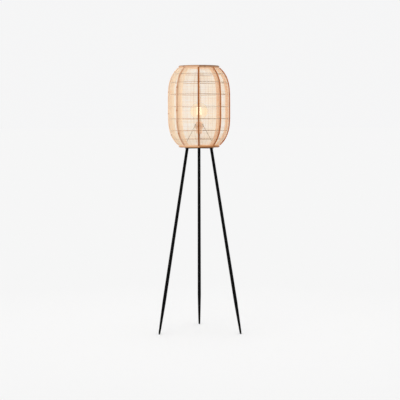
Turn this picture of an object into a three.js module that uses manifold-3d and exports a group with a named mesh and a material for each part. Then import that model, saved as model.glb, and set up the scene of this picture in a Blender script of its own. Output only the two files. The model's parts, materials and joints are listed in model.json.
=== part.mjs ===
// A rattan floor lamp: a woven barrel shade and a globe bulb on three splayed, tapered legs.
// Millimetres, +Z up, front towards -Y. The lamp is drawn about its own upright axis, and then
// stands so that the origin is on the floor, below the middle of the box that holds it all.
import * as THREE from 'three';
import { mergeVertices } from 'three/addons/utils/BufferGeometryUtils.js';
import Module from 'manifold-3d';

const wasm = await Module();
wasm.setup();

// Clearances
const gap = 0.3;
const threadClearance = 0.5;
const overrun = 10;
const flatWithin = 0.002;

// Shade: a barrel between two round rims of rattan pole
const shadeAboveLegs = 4;
const shadeHeight = 448;
const shadeRadius = 172;
const rimOuterRadius = 112.5;
const rimThickness = 15;
const barrelPower = 4.1;
const ribCount = 8;
const ribTurn = THREE.MathUtils.degToRad(-1.5);

// What a rib is made of, from the outside in: a dark cane, the woven skin and a lath on edge
const caneThickness = 7;
const skinThickness = 1.6;
const openingPitch = 33;
const openingShare = 0.74;
const lathThickness = 5;
const lathWidth = 26;
const hoopThickness = 2.4;
const hoopPitch = 67;
const hoopFromRim = 33.5;
const hoopsEachSide = 2;

// Legs
const legCount = 3;
const footReach = 256;
const legTopReach = 76;
const legTopHeight = 1009.5;
const legTopRadius = 6.75;
const legWideRadius = 7.9;
const legWideHeight = 178;
const legTipRadius = 4.2;
const footTipHeight = 5;
const footTipRadius = 4.5;
const tipPinRadius = 1.5;
const tipPinLength = 12;
const studRadius = 3;
const studInLeg = 25;
const studInHub = 12;

// Hub: a three-armed steel plate with a leaning socket for each leg
const hubAboveLegs = 8;
const hubPlateThickness = 4;
const hubArmWidth = 22;
const hubDiscRadius = 22;
const socketLength = 16;
const armPastSocket = 3;

// Stem: a threaded tube between two nuts, with a bush for the lead at its foot
const stemRadius = 5;
const stemBoreRadius = 3.5;
const stemBelowHub = 9;
const stemGrip = 6;
const nutWidth = 14;
const nutHeight = 4.5;
const glandRadius = 6.5;
const glandFlange = 2;
const glandSpigot = 6;
const glandWall = 0.9;

// Lampholder
const holderAboveHub = 71;
const holderRadius = 18.5;
const holderBaseRadius = 12.5;
const holderCapHeight = 24;
const holderBaseThickness = 8;
const holderBodyHeight = 41.7;
const capCavityRadius = 13.5;
const capWall = 2;
const blockFlangeHeight = 5.5;
const blockNeckHeight = 8;
const ledgeHeight = 14;
const shellWall = 1.2;
const shellHeight = 34;
const contactHeight = 3;
const contactWidth = 5;
const contactThickness = 0.8;
const contactLength = 12;
const shadeRingRadius = 24.5;
const shadeRingHeight = 12;
const shadeRingLip = 1.5;
const fitterDrop = 24;

// Spider: it hangs the shade on the lampholder
const fitterRadius = 29;
const fitterThickness = 3;
const spiderWire = 3;
const spiderRingWire = 4;
const spiderArmCount = 3;

// Bulb: a clear globe on an Edison screw
const bulbLength = 140;
const globeRadius = 47.5;
const glassWall = 1;
const bulbCapRadius = 13.1;
const bulbCapHeight = 27;
const bulbCapWall = 0.8;
const threadPitch = 3.629;
const threadDepth = 0.7;
const threadTurns = 5;
const bulbContactRadius = 4.8;
const bulbContactHeight = 1.5;
const insulatorRadius = 9.5;
const insulatorHeight = 4;
const neckInCap = 12;
const neckFlareRadius = 14.4;
const neckFlareHeight = 5;
const postRadius = 4;
const filamentRadius = 12.5;
const filamentLength = 54;
const filamentWire = 1.4;
const filamentCount = 6;

// Facets of the round pieces
const shadeSides = 32;
const turnedSides = 20;
const globeSides = 24;
const rodSides = 12;
const wireSides = 6;
const rimSides = 8;

// Colours and finishes
function finish(color, roughness, metalness) {
  return new THREE.MeshStandardMaterial({ color, roughness, metalness });
}
const blackLacquer = finish(0x1c1a19, 0.4, 0);
const blackSteel = finish(0x222222, 0.45, 0.8);
const darkCane = finish(0x8a5f3c, 0.55, 0);
const paleCane = finish(0xc79a72, 0.55, 0);
const paleLath = finish(0xe3c4a4, 0.7, 0);
const weave = finish(0xf0dcc2, 0.8, 0);
const blackRubber = finish(0x151515, 0.8, 0);
const copper = finish(0xb87654, 0.35, 0.9);
const brass = finish(0xc9a24e, 0.3, 0.9);
const zinc = finish(0xa8a8a4, 0.4, 0.9);
const porcelain = finish(0xf0ece4, 0.3, 0);
const darkGlass = finish(0x20242a, 0.2, 0);
const amberGlass = finish(0xffd79a, 0.05, 0);
const filamentGlow = finish(0xffe2b0, 0.4, 0);

// A closed mesh with its shared corners joined and its faces turned outwards.
function shared(geometry) {
  const plain = geometry.clone();
  plain.deleteAttribute('normal');
  plain.deleteAttribute('uv');
  const joined = mergeVertices(plain);
  const corners = Array.from(joined.index.array);
  const place = joined.attributes.position;
  const at = [new THREE.Vector3(), new THREE.Vector3(), new THREE.Vector3()];
  const kept = [];
  let volume = 0;
  for (let i = 0; i < corners.length; i += 3) {
    const face = corners.slice(i, i + 3);
    if (new Set(face).size === 3) {
      face.forEach((corner, k) => at[k].fromBufferAttribute(place, corner));
      volume += at[0].dot(at[1].cross(at[2]));
      kept.push(face);
    }
  }
  const outward = volume < 0 ? kept.map(([a, b, c]) => [a, c, b]) : kept;
  joined.setIndex(outward.flat());
  return joined;
}

function solidOf(geometry) {
  const mesh = new wasm.Mesh({
    numProp: 3,
    vertProperties: Float32Array.from(geometry.attributes.position.array),
    triVerts: Uint32Array.from(geometry.index.array),
  });
  return new wasm.Manifold(mesh);
}

// A solid's faces, where those that lie flat together have no corners left between them.
function geometryOf(solid) {
  const mesh = solid.asOriginal().simplify(flatWithin).getMesh();
  const geometry = new THREE.BufferGeometry();
  geometry.setAttribute('position', new THREE.BufferAttribute(mesh.vertProperties, 3));
  geometry.setIndex(new THREE.BufferAttribute(mesh.triVerts, 1));
  return geometry;
}

function joinAll(geometries) {
  const [first, ...others] = geometries.map(solidOf);
  return geometryOf(others.reduce((whole, next) => whole.add(next), first));
}

function cutAway(geometry, cutters) {
  return geometryOf(cutters.map(solidOf).reduce((whole, next) => whole.subtract(next), solidOf(geometry)));
}

function common(geometry, other) {
  return geometryOf(solidOf(geometry).intersect(solidOf(other)));
}

// A piece turned about the upright axis from [radius, height] points.
function turned(points, sides) {
  const outline = points.map(([radius, height]) => new THREE.Vector2(radius, height));
  return shared(new THREE.LatheGeometry(outline, sides).rotateX(Math.PI / 2));
}

function disc(radius, bottom, top, sides) {
  return turned([[0, bottom], [radius, bottom], [radius, top], [0, top]], sides);
}

function tube(outer, inner, bottom, top, sides) {
  return turned([[inner, bottom], [outer, bottom], [outer, top], [inner, top], [inner, bottom]], sides);
}

// The corners of a round outline, one of them pointing to -Y as on a turned piece.
function roundCorners(radius, sides) {
  return Array.from({ length: sides }, (_, i) => {
    const angle = (i / sides) * 2 * Math.PI - Math.PI / 2;
    return new THREE.Vector2(radius * Math.cos(angle), radius * Math.sin(angle));
  });
}

function wireRing(ringRadius, height, wire, sides) {
  const section = roundCorners(wire / 2, wireSides).map((p) => [ringRadius + p.x, height + p.y]);
  return turned([...section, section[0]], sides);
}

function rod(from, to, thickness) {
  const section = new THREE.Shape(roundCorners(thickness / 2, wireSides));
  const path = new THREE.LineCurve3(from, to);
  return shared(new THREE.ExtrudeGeometry(section, { steps: 1, bevelEnabled: false, extrudePath: path }));
}

function upright(shape, depth) {
  return shared(new THREE.ExtrudeGeometry(shape, { depth, bevelEnabled: false }));
}

function addPiece(parent, name, geometry, material) {
  const mesh = new THREE.Mesh(geometry, material);
  mesh.name = name;
  parent.add(mesh);
  return mesh;
}

function circleStep(index, count) {
  return (index / count) * 2 * Math.PI;
}

// The first rib is at the front.
function ribAngle(index) {
  return circleStep(index, ribCount) - Math.PI / 2;
}

const hubUnderside = legTopHeight + hubAboveLegs;
const holderBottom = hubUnderside + holderAboveHub;
const shadeBottom = legTopHeight + shadeAboveLegs;

// The barrel's outline, with heights measured from the middle of the shade.
const halfShade = shadeHeight / 2;
const shadeMiddle = shadeBottom + halfShade;
const rimRadius = rimOuterRadius - rimThickness / 2;
const rimHeight = halfShade - rimThickness / 2;
const bulge = shadeRadius - rimOuterRadius;

function outlineRadius(height) {
  return rimOuterRadius + bulge * (1 - Math.abs(height / rimHeight) ** barrelPower);
}

function outlineNormal(height) {
  const steepness = Math.abs(height / rimHeight) ** (barrelPower - 1);
  const slope = (-bulge * barrelPower * steepness * Math.sign(height)) / rimHeight;
  return new THREE.Vector2(1, -slope).normalize();
}

// The point of the outline at a height, moved in by a depth square to the outline.
function inside(height, depth) {
  const normal = outlineNormal(height);
  return [outlineRadius(height) - depth * normal.x, height - depth * normal.y];
}

// The largest outline height at which the test still holds, found by halving.
function lastHeight(holds) {
  let low = 0;
  let high = rimHeight;
  for (let i = 0; i < 40; i += 1) {
    const middle = (low + high) / 2;
    if (holds(middle)) low = middle;
    else high = middle;
  }
  return low;
}

// Where a line at a depth comes as near to the rim as its own half thickness and the gap allow.
function endAtRim(depth, thickness) {
  const reach = rimThickness / 2 + thickness / 2 + gap;
  return lastHeight((height) => {
    const [radius, level] = inside(height, depth);
    return Math.hypot(radius - rimRadius, level - rimHeight) > reach;
  });
}

function hoopLevels() {
  const above = Array.from({ length: hoopsEachSide }, (_, i) => (i + 1) * hoopPitch);
  above.push(rimHeight - hoopFromRim);
  return [...above.map((level) => -level).reverse(), 0, ...above];
}

// The heights at which skin, canes and laths bend: at each hoop, between hoops and near the rims.
const hoopHeights = hoopLevels();
const bendHeights = [-rimHeight, ...hoopHeights, rimHeight].flatMap((height, i, all) => {
  const last = i === all.length - 1;
  return last ? [height] : [height, (height + all[i + 1]) / 2];
}).slice(1, -1);

function bendsTo(end) {
  return [-end, ...bendHeights, end];
}

const caneDepth = caneThickness / 2;
const skinDepth = caneThickness + gap;
const skinInnerDepth = skinDepth + skinThickness;
const hoopDepth = skinInnerDepth + gap + hoopThickness / 2;
// How far a facet of the round skin falls back from its corner at the edge of a lath.
const facetFall = (lathThickness / 2) * Math.tan(Math.PI / shadeSides);
const lathDepth = skinInnerDepth + gap + facetFall;

const lamp = new THREE.Group();
const shade = new THREE.Group();
shade.position.z = shadeMiddle;
shade.rotation.z = ribTurn;
lamp.add(shade);

function buildRims() {
  const section = roundCorners(rimThickness / 2, rimSides).map((p) => [rimRadius + p.x, p.y]);
  const ring = turned([...section, section[0]], shadeSides);
  addPiece(shade, 'rim_top', ring, paleCane).position.z = rimHeight;
  addPiece(shade, 'rim_bottom', ring, paleCane).position.z = -rimHeight;
}

function buildHoops() {
  hoopHeights.forEach((height, i) => {
    const normal = outlineNormal(height);
    const [radius, level] = inside(height, hoopDepth);
    const half = hoopThickness / 2;
    const corner = (across, along) => [
      radius + half * (across * normal.x - along * normal.y),
      level + half * (across * normal.y + along * normal.x),
    ];
    const section = [corner(-1, -1), corner(1, -1), corner(1, 1), corner(-1, 1)];
    addPiece(shade, `hoop_${i + 1}`, turned([...section, section[0]], shadeSides), paleCane);
  });
}

// The outer edge of a lath, with a notch for each hoop.
function lathOuterEdge(end) {
  const notchHalf = hoopThickness / 2 + gap;
  const notchDepth = hoopDepth + notchHalf + facetFall;
  return bendsTo(end).flatMap((height) => {
    if (!hoopHeights.includes(height)) return [inside(height, lathDepth)];
    const normal = outlineNormal(height);
    const beside = (side, depth) => {
      const [radius, level] = inside(height, depth);
      return [radius - side * notchHalf * normal.y, level + side * notchHalf * normal.x];
    };
    return [beside(-1, lathDepth), beside(-1, notchDepth), beside(1, notchDepth), beside(1, lathDepth)];
  });
}

function buildLaths() {
  const level = rimHeight - rimThickness / 2 - gap;
  const end = lastHeight((height) => inside(height, lathDepth)[1] < level);
  const innerEdge = bendsTo(end).map((height) => inside(height, lathDepth)).reverse();
  const outline = [...lathOuterEdge(end), ...innerEdge.map(([radius, at]) => [radius - lathWidth, at])];
  const shape = new THREE.Shape(outline.map(([radius, at]) => new THREE.Vector2(radius, at)));
  const flat = upright(shape, lathThickness).translate(0, 0, -lathThickness / 2);
  const lath = flat.rotateX(Math.PI / 2);
  for (let i = 0; i < ribCount; i += 1) {
    addPiece(shade, `rib_lath_${i + 1}`, lath, paleLath).rotation.z = ribAngle(i);
  }
}

// A path whose equal steps fall on the given points.
class BentPath extends THREE.Curve {
  constructor(points) {
    super();
    this.points = points;
  }

  getPoint(share, target = new THREE.Vector3()) {
    const place = share * (this.points.length - 1);
    const index = Math.min(Math.floor(place), this.points.length - 2);
    return target.lerpVectors(this.points[index], this.points[index + 1], place - index);
  }

  getPointAt(share, target) {
    return this.getPoint(share, target);
  }

  getTangentAt(share, target) {
    return this.getTangent(share, target);
  }
}

function buildCanes() {
  const bends = bendsTo(endAtRim(caneDepth, caneThickness)).map((height) => inside(height, caneDepth));
  const path = new BentPath(bends.map(([radius, level]) => new THREE.Vector3(radius, 0, level)));
  const section = new THREE.Shape(roundCorners(caneThickness / 2, wireSides));
  const sweep = { steps: bends.length - 1, bevelEnabled: false, extrudePath: path };
  const cane = shared(new THREE.ExtrudeGeometry(section, sweep));
  for (let i = 0; i < ribCount; i += 1) {
    addPiece(shade, `rib_cane_${i + 1}`, cane, darkCane).rotation.z = ribAngle(i);
  }
}

// The open weave is drawn as a plain grid: a column of openings in each facet, in rows that leave a
// bar in front of every hoop. A wedge from the lamp's axis cuts each opening.
function openingCutters(end) {
  const borders = [-end, ...hoopHeights, end].map((height) => inside(height, skinInnerDepth)[1]);
  const column = circleStep(1, shadeSides);
  const half = (openingShare * column) / 2;
  const far = 2 * shadeRadius;
  const corner = (angle) => new THREE.Vector2(far * Math.cos(angle), far * Math.sin(angle));
  const wedges = Array.from({ length: shadeSides / ribCount }, (_, k) => {
    const angle = (k + 1 / 2) * column;
    return new THREE.Shape([new THREE.Vector2(), corner(angle - half), corner(angle + half)]);
  });
  return borders.slice(1).flatMap((high, i) => {
    const rows = Math.round((high - borders[i]) / openingPitch);
    const row = (high - borders[i]) / rows;
    const first = borders[i] + ((1 - openingShare) / 2) * row;
    const bottoms = Array.from({ length: rows }, (_, k) => first + k * row);
    return bottoms.flatMap((bottom) => {
      return wedges.map((wedge) => upright(wedge, openingShare * row).translate(0, 0, bottom));
    });
  });
}

// One panel of the woven skin fills the space between two ribs and meets the next under a cane.
function buildSkin() {
  const end = endAtRim(skinDepth + skinThickness / 2, skinThickness);
  const bends = bendsTo(end);
  const outer = bends.map((height) => inside(height, skinDepth));
  const inner = bends.map((height) => inside(height, skinInnerDepth)).reverse();
  const barrel = turned([...outer, ...inner, outer[0]], shadeSides);
  const halfSector = Math.PI / ribCount;
  const apex = gap / 2 / Math.sin(halfSector);
  const far = 2 * shadeRadius;
  const across = far * Math.sin(halfSector);
  const side = (sign) => new THREE.Vector2(apex + far * Math.cos(halfSector), sign * across);
  const sector = upright(new THREE.Shape([new THREE.Vector2(apex, 0), side(-1), side(1)]), shadeHeight);
  sector.translate(0, 0, -halfShade).rotateZ(halfSector);
  const panel = cutAway(common(barrel.rotateZ(Math.PI / 2), sector), openingCutters(end));
  for (let i = 0; i < ribCount; i += 1) {
    addPiece(shade, `woven_panel_${i + 1}`, panel, weave).rotation.z = ribAngle(i);
  }
}

const fitterHeight = holderBottom + holderCapHeight + gap + holderBodyHeight - fitterDrop;

// The spider is one welded piece: a flat ring on the lampholder, three wires and a ring in the rim.
function buildSpider() {
  const ringRadius = rimOuterRadius - rimThickness - gap - spiderRingWire / 2;
  const besideLath = (lathThickness + spiderWire) / 2 + 2 * gap;
  const turn = Math.asin(besideLath / (rimOuterRadius - lathWidth));
  const fitterMiddle = fitterHeight - shadeMiddle;
  const fitter = tube(
    fitterRadius,
    holderRadius + gap,
    fitterMiddle - fitterThickness / 2,
    fitterMiddle + fitterThickness / 2,
    shadeSides,
  );
  const wires = Array.from({ length: spiderArmCount }, (_, i) => {
    const angle = circleStep(i, spiderArmCount) + Math.PI / 2 + turn;
    const out = new THREE.Vector3(Math.cos(angle), Math.sin(angle), 0);
    const from = out.clone().multiplyScalar(fitterRadius - spiderWire / 2).setZ(fitterMiddle);
    const to = out.clone().multiplyScalar(ringRadius).setZ(-rimHeight);
    return rod(from, to, spiderWire);
  });
  const ring = wireRing(ringRadius, -rimHeight, spiderRingWire, shadeSides);
  addPiece(shade, 'shade_spider', joinAll([fitter, ring, ...wires]), blackSteel);
}

const lean = Math.atan2(footReach - legTopReach, legTopHeight);
const legTop = legTopHeight / Math.cos(lean);

// What leans with a leg is drawn upright above the place where the leg's own axis meets the floor.
function leaning(geometry) {
  return geometry.rotateY(-lean).translate(footReach, 0, 0);
}

function buildLegs() {
  const foot = footTipHeight + gap;
  const outline = [
    [0, foot + tipPinLength + gap],
    [tipPinRadius + gap, foot + tipPinLength + gap],
    [tipPinRadius + gap, foot],
    [legTipRadius, foot],
    [legWideRadius, legWideHeight],
    [legTopRadius, legTop],
    [studRadius + gap, legTop],
    [studRadius + gap, legTop - studInLeg - gap],
    [0, legTop - studInLeg - gap],
  ];
  const leg = leaning(turned(outline, rodSides));
  const stud = leaning(disc(studRadius, legTop - studInLeg, legTop + gap + studInHub, rodSides));
  const tipOutline = [
    [0, -footTipRadius],
    [footTipRadius, -footTipRadius],
    [footTipRadius, footTipHeight],
    [tipPinRadius, footTipHeight],
    [tipPinRadius, foot + tipPinLength],
    [0, foot + tipPinLength],
  ];
  const block = new THREE.BoxGeometry(overrun * 2, overrun * 2, overrun);
  const floor = shared(block.translate(footReach, 0, -overrun / 2));
  const tip = cutAway(leaning(turned(tipOutline, rodSides)), [floor]);
  for (let i = 0; i < legCount; i += 1) {
    const side = new THREE.Group();
    side.rotation.z = circleStep(i, legCount) + Math.PI / 2;
    lamp.add(side);
    addPiece(side, `leg_${i + 1}`, leg, blackLacquer);
    addPiece(side, `leg_stud_${i + 1}`, stud, zinc);
    addPiece(side, `foot_tip_${i + 1}`, tip, blackRubber);
  }
}

function buildHub() {
  const top = hubUnderside + hubPlateThickness;
  const socketFoot = legTop + gap;
  const socketAt = footReach - (socketFoot + socketLength / 2) * Math.sin(lean);
  const armLength = socketAt + legTopRadius + armPastSocket;
  const plates = [disc(hubDiscRadius, hubUnderside, top, turnedSides)];
  const sockets = [];
  const bores = [disc(stemRadius + gap, hubUnderside - overrun, top + overrun, rodSides)];
  for (let i = 0; i < legCount; i += 1) {
    const angle = circleStep(i, legCount) + Math.PI / 2;
    const arm = shared(new THREE.BoxGeometry(armLength, hubArmWidth, hubPlateThickness));
    plates.push(arm.translate(armLength / 2, 0, hubUnderside + hubPlateThickness / 2).rotateZ(angle));
    const socket = disc(legTopRadius, socketFoot, socketFoot + socketLength, rodSides);
    sockets.push(leaning(socket).rotateZ(angle));
    const bore = disc(studRadius + gap, socketFoot - overrun, socketFoot + studInHub + gap, rodSides);
    bores.push(leaning(bore).rotateZ(angle));
  }
  addPiece(lamp, 'leg_hub', cutAway(joinAll([...plates, ...sockets]), bores), blackSteel);
}

function buildStem() {
  const foot = hubUnderside - stemBelowHub;
  const head = holderBottom + stemGrip;
  addPiece(lamp, 'stem_tube', tube(stemRadius, stemBoreRadius, foot, head, rodSides), zinc);
  const hexagon = new THREE.Shape(roundCorners(nutWidth / Math.sqrt(3), 6));
  hexagon.holes.push(new THREE.Path(roundCorners(stemRadius + gap, rodSides)));
  const nut = upright(hexagon, nutHeight);
  addPiece(lamp, 'stem_nut_lower', nut, zinc).position.z = hubUnderside - gap - nutHeight;
  addPiece(lamp, 'stem_nut_upper', nut, zinc).position.z = hubUnderside + hubPlateThickness + gap;
  const spigotRadius = stemBoreRadius - gap;
  const gland = turned([
    [spigotRadius - glandWall, foot - gap - glandFlange],
    [glandRadius, foot - gap - glandFlange],
    [glandRadius, foot - gap],
    [spigotRadius, foot - gap],
    [spigotRadius, foot + glandSpigot],
    [spigotRadius - glandWall, foot + glandSpigot],
    [spigotRadius - glandWall, foot - gap - glandFlange],
  ], rodSides);
  addPiece(lamp, 'cord_gland', gland, blackRubber);
}

const shellBore = bulbCapRadius + threadClearance;
const shellRadius = shellBore + shellWall;
const bodyBore = shellRadius + gap;
const bodyBottom = holderCapHeight + gap;
const blockTop = ledgeHeight + gap + blockFlangeHeight + blockNeckHeight;

function buildHolder() {
  const holder = new THREE.Group();
  holder.position.z = holderBottom;
  lamp.add(holder);
  const cavity = holderRadius - capWall;
  const cap = turned([
    [stemRadius + gap, 0],
    [holderBaseRadius, 0],
    [holderRadius, holderBaseThickness],
    [holderRadius, holderCapHeight],
    [cavity, holderCapHeight],
    [cavity, ledgeHeight],
    [capCavityRadius, ledgeHeight],
    [capCavityRadius, holderBaseThickness],
    [stemRadius + gap, holderBaseThickness],
    [stemRadius + gap, 0],
  ], turnedSides);
  addPiece(holder, 'holder_cap', cap, copper);
  const bodyTop = bodyBottom + holderBodyHeight;
  addPiece(holder, 'holder_body', tube(holderRadius, bodyBore, bodyBottom, bodyTop, turnedSides), copper);
  const flangeTop = ledgeHeight + gap + blockFlangeHeight;
  const block = turned([
    [0, ledgeHeight + gap],
    [cavity - gap, ledgeHeight + gap],
    [cavity - gap, flangeTop],
    [shellRadius, flangeTop],
    [shellRadius, blockTop],
    [0, blockTop],
  ], turnedSides);
  addPiece(holder, 'holder_contact_block', block, porcelain);
  const shellBottom = blockTop + gap;
  const shell = tube(shellRadius, shellBore, shellBottom, shellBottom + shellHeight, turnedSides);
  addPiece(holder, 'holder_thread_shell', shell, brass);
  addPiece(holder, 'holder_centre_contact', centreContact(), brass).position.z = blockTop + gap;
}

// A springy tongue: it lies on the block, turns back over itself and bears under the bulb.
function centreContact() {
  const half = contactLength / 2;
  const profile = [
    [-half, 0],
    [half, 0],
    [half, contactHeight],
    [-half, contactHeight],
    [-half, contactHeight - contactThickness],
    [half - contactThickness, contactHeight - contactThickness],
    [half - contactThickness, contactThickness],
    [-half, contactThickness],
  ];
  const shape = new THREE.Shape(profile.map(([x, y]) => new THREE.Vector2(x, y)));
  return upright(shape, contactWidth).translate(0, 0, -contactWidth / 2).rotateX(Math.PI / 2);
}

// Two screwed rings, each a cone above its lip, clamp the spider's flat ring round the lampholder.
function buildShadeRings() {
  const bore = holderRadius + gap;
  const collar = bore + capWall;
  const outline = [
    [bore, 0],
    [shadeRingRadius, 0],
    [shadeRingRadius, shadeRingLip],
    [collar, shadeRingHeight],
    [bore, shadeRingHeight],
    [bore, 0],
  ];
  const ring = turned(outline, turnedSides);
  const clearOfFitter = fitterThickness / 2 + gap;
  addPiece(lamp, 'shade_ring_upper', ring, copper).position.z = fitterHeight + clearOfFitter;
  const lower = addPiece(lamp, 'shade_ring_lower', ring, copper);
  lower.rotation.x = Math.PI;
  lower.position.z = fitterHeight - clearOfFitter;
}

const bulbFoot = holderBottom + blockTop + gap + contactHeight + gap;
const capFoot = bulbContactHeight + gap + insulatorHeight + gap;
const capTop = capFoot + bulbCapHeight;
const globeCentre = bulbLength - globeRadius;

// The glass from the foot of its neck to its crown, moved in by a wall.
function glassOutline(wall) {
  const neck = bulbCapRadius - threadDepth - bulbCapWall - gap - wall;
  const flare = neckFlareRadius - wall;
  const globe = globeRadius - wall;
  const flareTop = capTop + neckFlareHeight;
  const meets = THREE.MathUtils.degToRad(-58);
  const meetRadius = globe * Math.cos(meets);
  const meetHeight = globeCentre + globe * Math.sin(meets);
  const pull = new THREE.Vector2(flare, flareTop + (meetHeight - flareTop) / 2);
  const throat = new THREE.QuadraticBezierCurve(
    new THREE.Vector2(flare, flareTop),
    pull,
    new THREE.Vector2(meetRadius, meetHeight),
  );
  const crown = new THREE.EllipseCurve(0, globeCentre, globe, globe, meets, Math.PI / 2);
  const points = [...throat.getPoints(3), ...crown.getPoints(10).slice(1)].map((p) => [p.x, p.y]);
  points[points.length - 1][0] = 0;
  return [[neck, capTop - neckInCap], [neck, capTop + gap], ...points];
}

function buildBulb() {
  const bulb = new THREE.Group();
  bulb.position.z = bulbFoot;
  lamp.add(bulb);
  addPiece(bulb, 'bulb_contact', disc(bulbContactRadius, 0, bulbContactHeight, rodSides), zinc);
  const insulatorFoot = bulbContactHeight + gap;
  const insulator = turned([
    [0, insulatorFoot],
    [bulbContactRadius, insulatorFoot],
    [insulatorRadius, insulatorFoot + insulatorHeight],
    [0, insulatorFoot + insulatorHeight],
  ], turnedSides);
  addPiece(bulb, 'bulb_insulator', insulator, darkGlass);
  const root = bulbCapRadius - threadDepth;
  const bore = root - bulbCapWall;
  const threads = Array.from({ length: threadTurns }, (_, i) => {
    const low = capFoot + (i + 1) * threadPitch;
    return [[root, low], [bulbCapRadius, low + threadPitch / 2]];
  }).flat();
  const cap = turned([
    [bore, capFoot],
    [insulatorRadius + gap, capFoot],
    ...threads,
    [root, capFoot + (threadTurns + 1) * threadPitch],
    [root, capTop],
    [bore, capTop],
    [bore, capFoot],
  ], turnedSides);
  addPiece(bulb, 'bulb_cap', cap, brass);
  const outside = glassOutline(0);
  const glass = turned([...outside, ...glassOutline(glassWall).reverse(), outside[0]], globeSides);
  addPiece(bulb, 'bulb_glass', glass, amberGlass);
  addPiece(bulb, 'bulb_filament', filament(), filamentGlow);
}

// The glass post in the neck, and the cage of filaments that it carries.
function filament() {
  const neckBore = bulbCapRadius - threadDepth - bulbCapWall - gap - glassWall;
  const postFoot = capTop - neckInCap + glassWall;
  const cageFoot = globeCentre - filamentLength / 2;
  const cageTop = globeCentre + filamentLength / 2;
  const post = turned([
    [0, postFoot],
    [neckBore - gap, postFoot],
    [neckBore - gap, postFoot + glassWall],
    [postRadius, postFoot + postRadius * 2],
    [postRadius, cageFoot],
    [filamentWire, cageFoot + postRadius],
    [filamentWire, cageTop],
    [0, cageTop],
  ], rodSides);
  const pieces = [post];
  [cageFoot, cageTop - filamentWire].forEach((height) => {
    pieces.push(disc(filamentRadius + filamentWire, height, height + filamentWire, rodSides));
  });
  for (let i = 0; i < filamentCount; i += 1) {
    const angle = circleStep(i, filamentCount);
    const foot = new THREE.Vector3(filamentRadius * Math.cos(angle), filamentRadius * Math.sin(angle), 0);
    foot.z = cageFoot + filamentWire / 2;
    pieces.push(rod(foot, foot.clone().setZ(cageTop - filamentWire / 2), filamentWire));
  }
  return joinAll(pieces);
}

buildRims();
buildHoops();
buildLaths();
buildCanes();
buildSkin();
buildSpider();
buildLegs();
buildHub();
buildStem();
buildHolder();
buildShadeRings();
buildBulb();

// The back foot reaches further from the lamp's axis than the front of the shade does.
lamp.position.y = (shadeRadius - footReach - footTipRadius / Math.cos(lean)) / 2;

export default lamp;
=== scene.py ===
import json
import math

import bmesh
import bpy
from mathutils import Matrix, Vector


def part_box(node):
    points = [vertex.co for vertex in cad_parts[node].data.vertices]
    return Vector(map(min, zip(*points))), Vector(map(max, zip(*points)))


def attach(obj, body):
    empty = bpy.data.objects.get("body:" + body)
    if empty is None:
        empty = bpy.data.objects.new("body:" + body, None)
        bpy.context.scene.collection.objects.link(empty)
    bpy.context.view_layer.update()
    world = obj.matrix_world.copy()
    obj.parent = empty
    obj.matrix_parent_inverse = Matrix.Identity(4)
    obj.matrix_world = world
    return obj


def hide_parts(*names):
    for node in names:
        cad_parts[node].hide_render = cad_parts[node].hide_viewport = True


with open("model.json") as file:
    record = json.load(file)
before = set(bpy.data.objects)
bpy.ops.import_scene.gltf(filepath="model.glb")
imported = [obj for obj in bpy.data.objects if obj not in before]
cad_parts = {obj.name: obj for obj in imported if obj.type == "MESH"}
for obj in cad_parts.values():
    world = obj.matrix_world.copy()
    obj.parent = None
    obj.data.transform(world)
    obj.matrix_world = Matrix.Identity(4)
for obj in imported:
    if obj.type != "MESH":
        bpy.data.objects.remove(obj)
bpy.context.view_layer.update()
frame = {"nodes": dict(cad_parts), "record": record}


# Reading the frame

def cornersOf(node):
    return [vertex.co.copy() for vertex in frame["nodes"][node].data.vertices]


def middleOf(node):
    low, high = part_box(node)
    return (low + high) / 2


# The heights of a node's foot and head
def levelsOf(node):
    low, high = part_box(node)
    return low.z, high.z


def footOf(node):
    return levelsOf(node)[0]


def headOf(node):
    return levelsOf(node)[1]


lampAxis = Vector((middleOf("rim_top").x, middleOf("rim_top").y, 0))


def reachOf(node):
    return max((corner - lampAxis).xy.length for corner in cornersOf(node))


def boreOf(node):
    return min((corner - lampAxis).xy.length for corner in cornersOf(node))


def azimuthOf(node):
    away = middleOf(node) - lampAxis
    return math.atan2(away.y, away.x)


def standing(radius, height, azimuth):
    return lampAxis + Vector((radius * math.cos(azimuth), radius * math.sin(azimuth), height))


# Node trees

def addNode(tree, kind, inputs=None, **settings):
    node = tree.nodes.new(kind)
    for name, value in settings.items():
        setattr(node, name, value)
    for socket, value in (inputs or {}).items():
        if isinstance(value, bpy.types.NodeSocket):
            tree.links.new(value, node.inputs[socket])
        else:
            node.inputs[socket].default_value = value
    return node


def made(tree, kind, inputs=None, **settings):
    return addNode(tree, kind, inputs, **settings).outputs[0]


def calc(tree, operation, first, second=0.0, third=0.0):
    return made(tree, "ShaderNodeMath", {0: first, 1: second, 2: third}, operation=operation)


def plus(tree, first, second):
    return calc(tree, "ADD", first, second)


def minus(tree, first, second):
    return calc(tree, "SUBTRACT", first, second)


def times(tree, first, second):
    return calc(tree, "MULTIPLY", first, second)


def over(tree, first, second):
    return calc(tree, "DIVIDE", first, second)


def timesPlus(tree, first, second, third):
    return calc(tree, "MULTIPLY_ADD", first, second, third)


def vectorCalc(tree, operation, first, second=(0, 0, 0)):
    return made(tree, "ShaderNodeVectorMath", {0: first, 1: second}, operation=operation)


def scaled(tree, vector, factor):
    return made(tree, "ShaderNodeVectorMath", {0: vector, "Scale": factor}, operation="SCALE")


def combined(tree, x, y, z):
    return made(tree, "ShaderNodeCombineXYZ", {0: x, 1: y, 2: z})


def parted(tree, vector):
    return addNode(tree, "ShaderNodeSeparateXYZ", {0: vector}).outputs


def noiseAt(tree, vector, scale, detail=3.0, roughness=0.5):
    inputs = {"Vector": vector, "Scale": scale, "Detail": detail, "Roughness": roughness}
    return made(tree, "ShaderNodeTexNoise", inputs)


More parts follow.
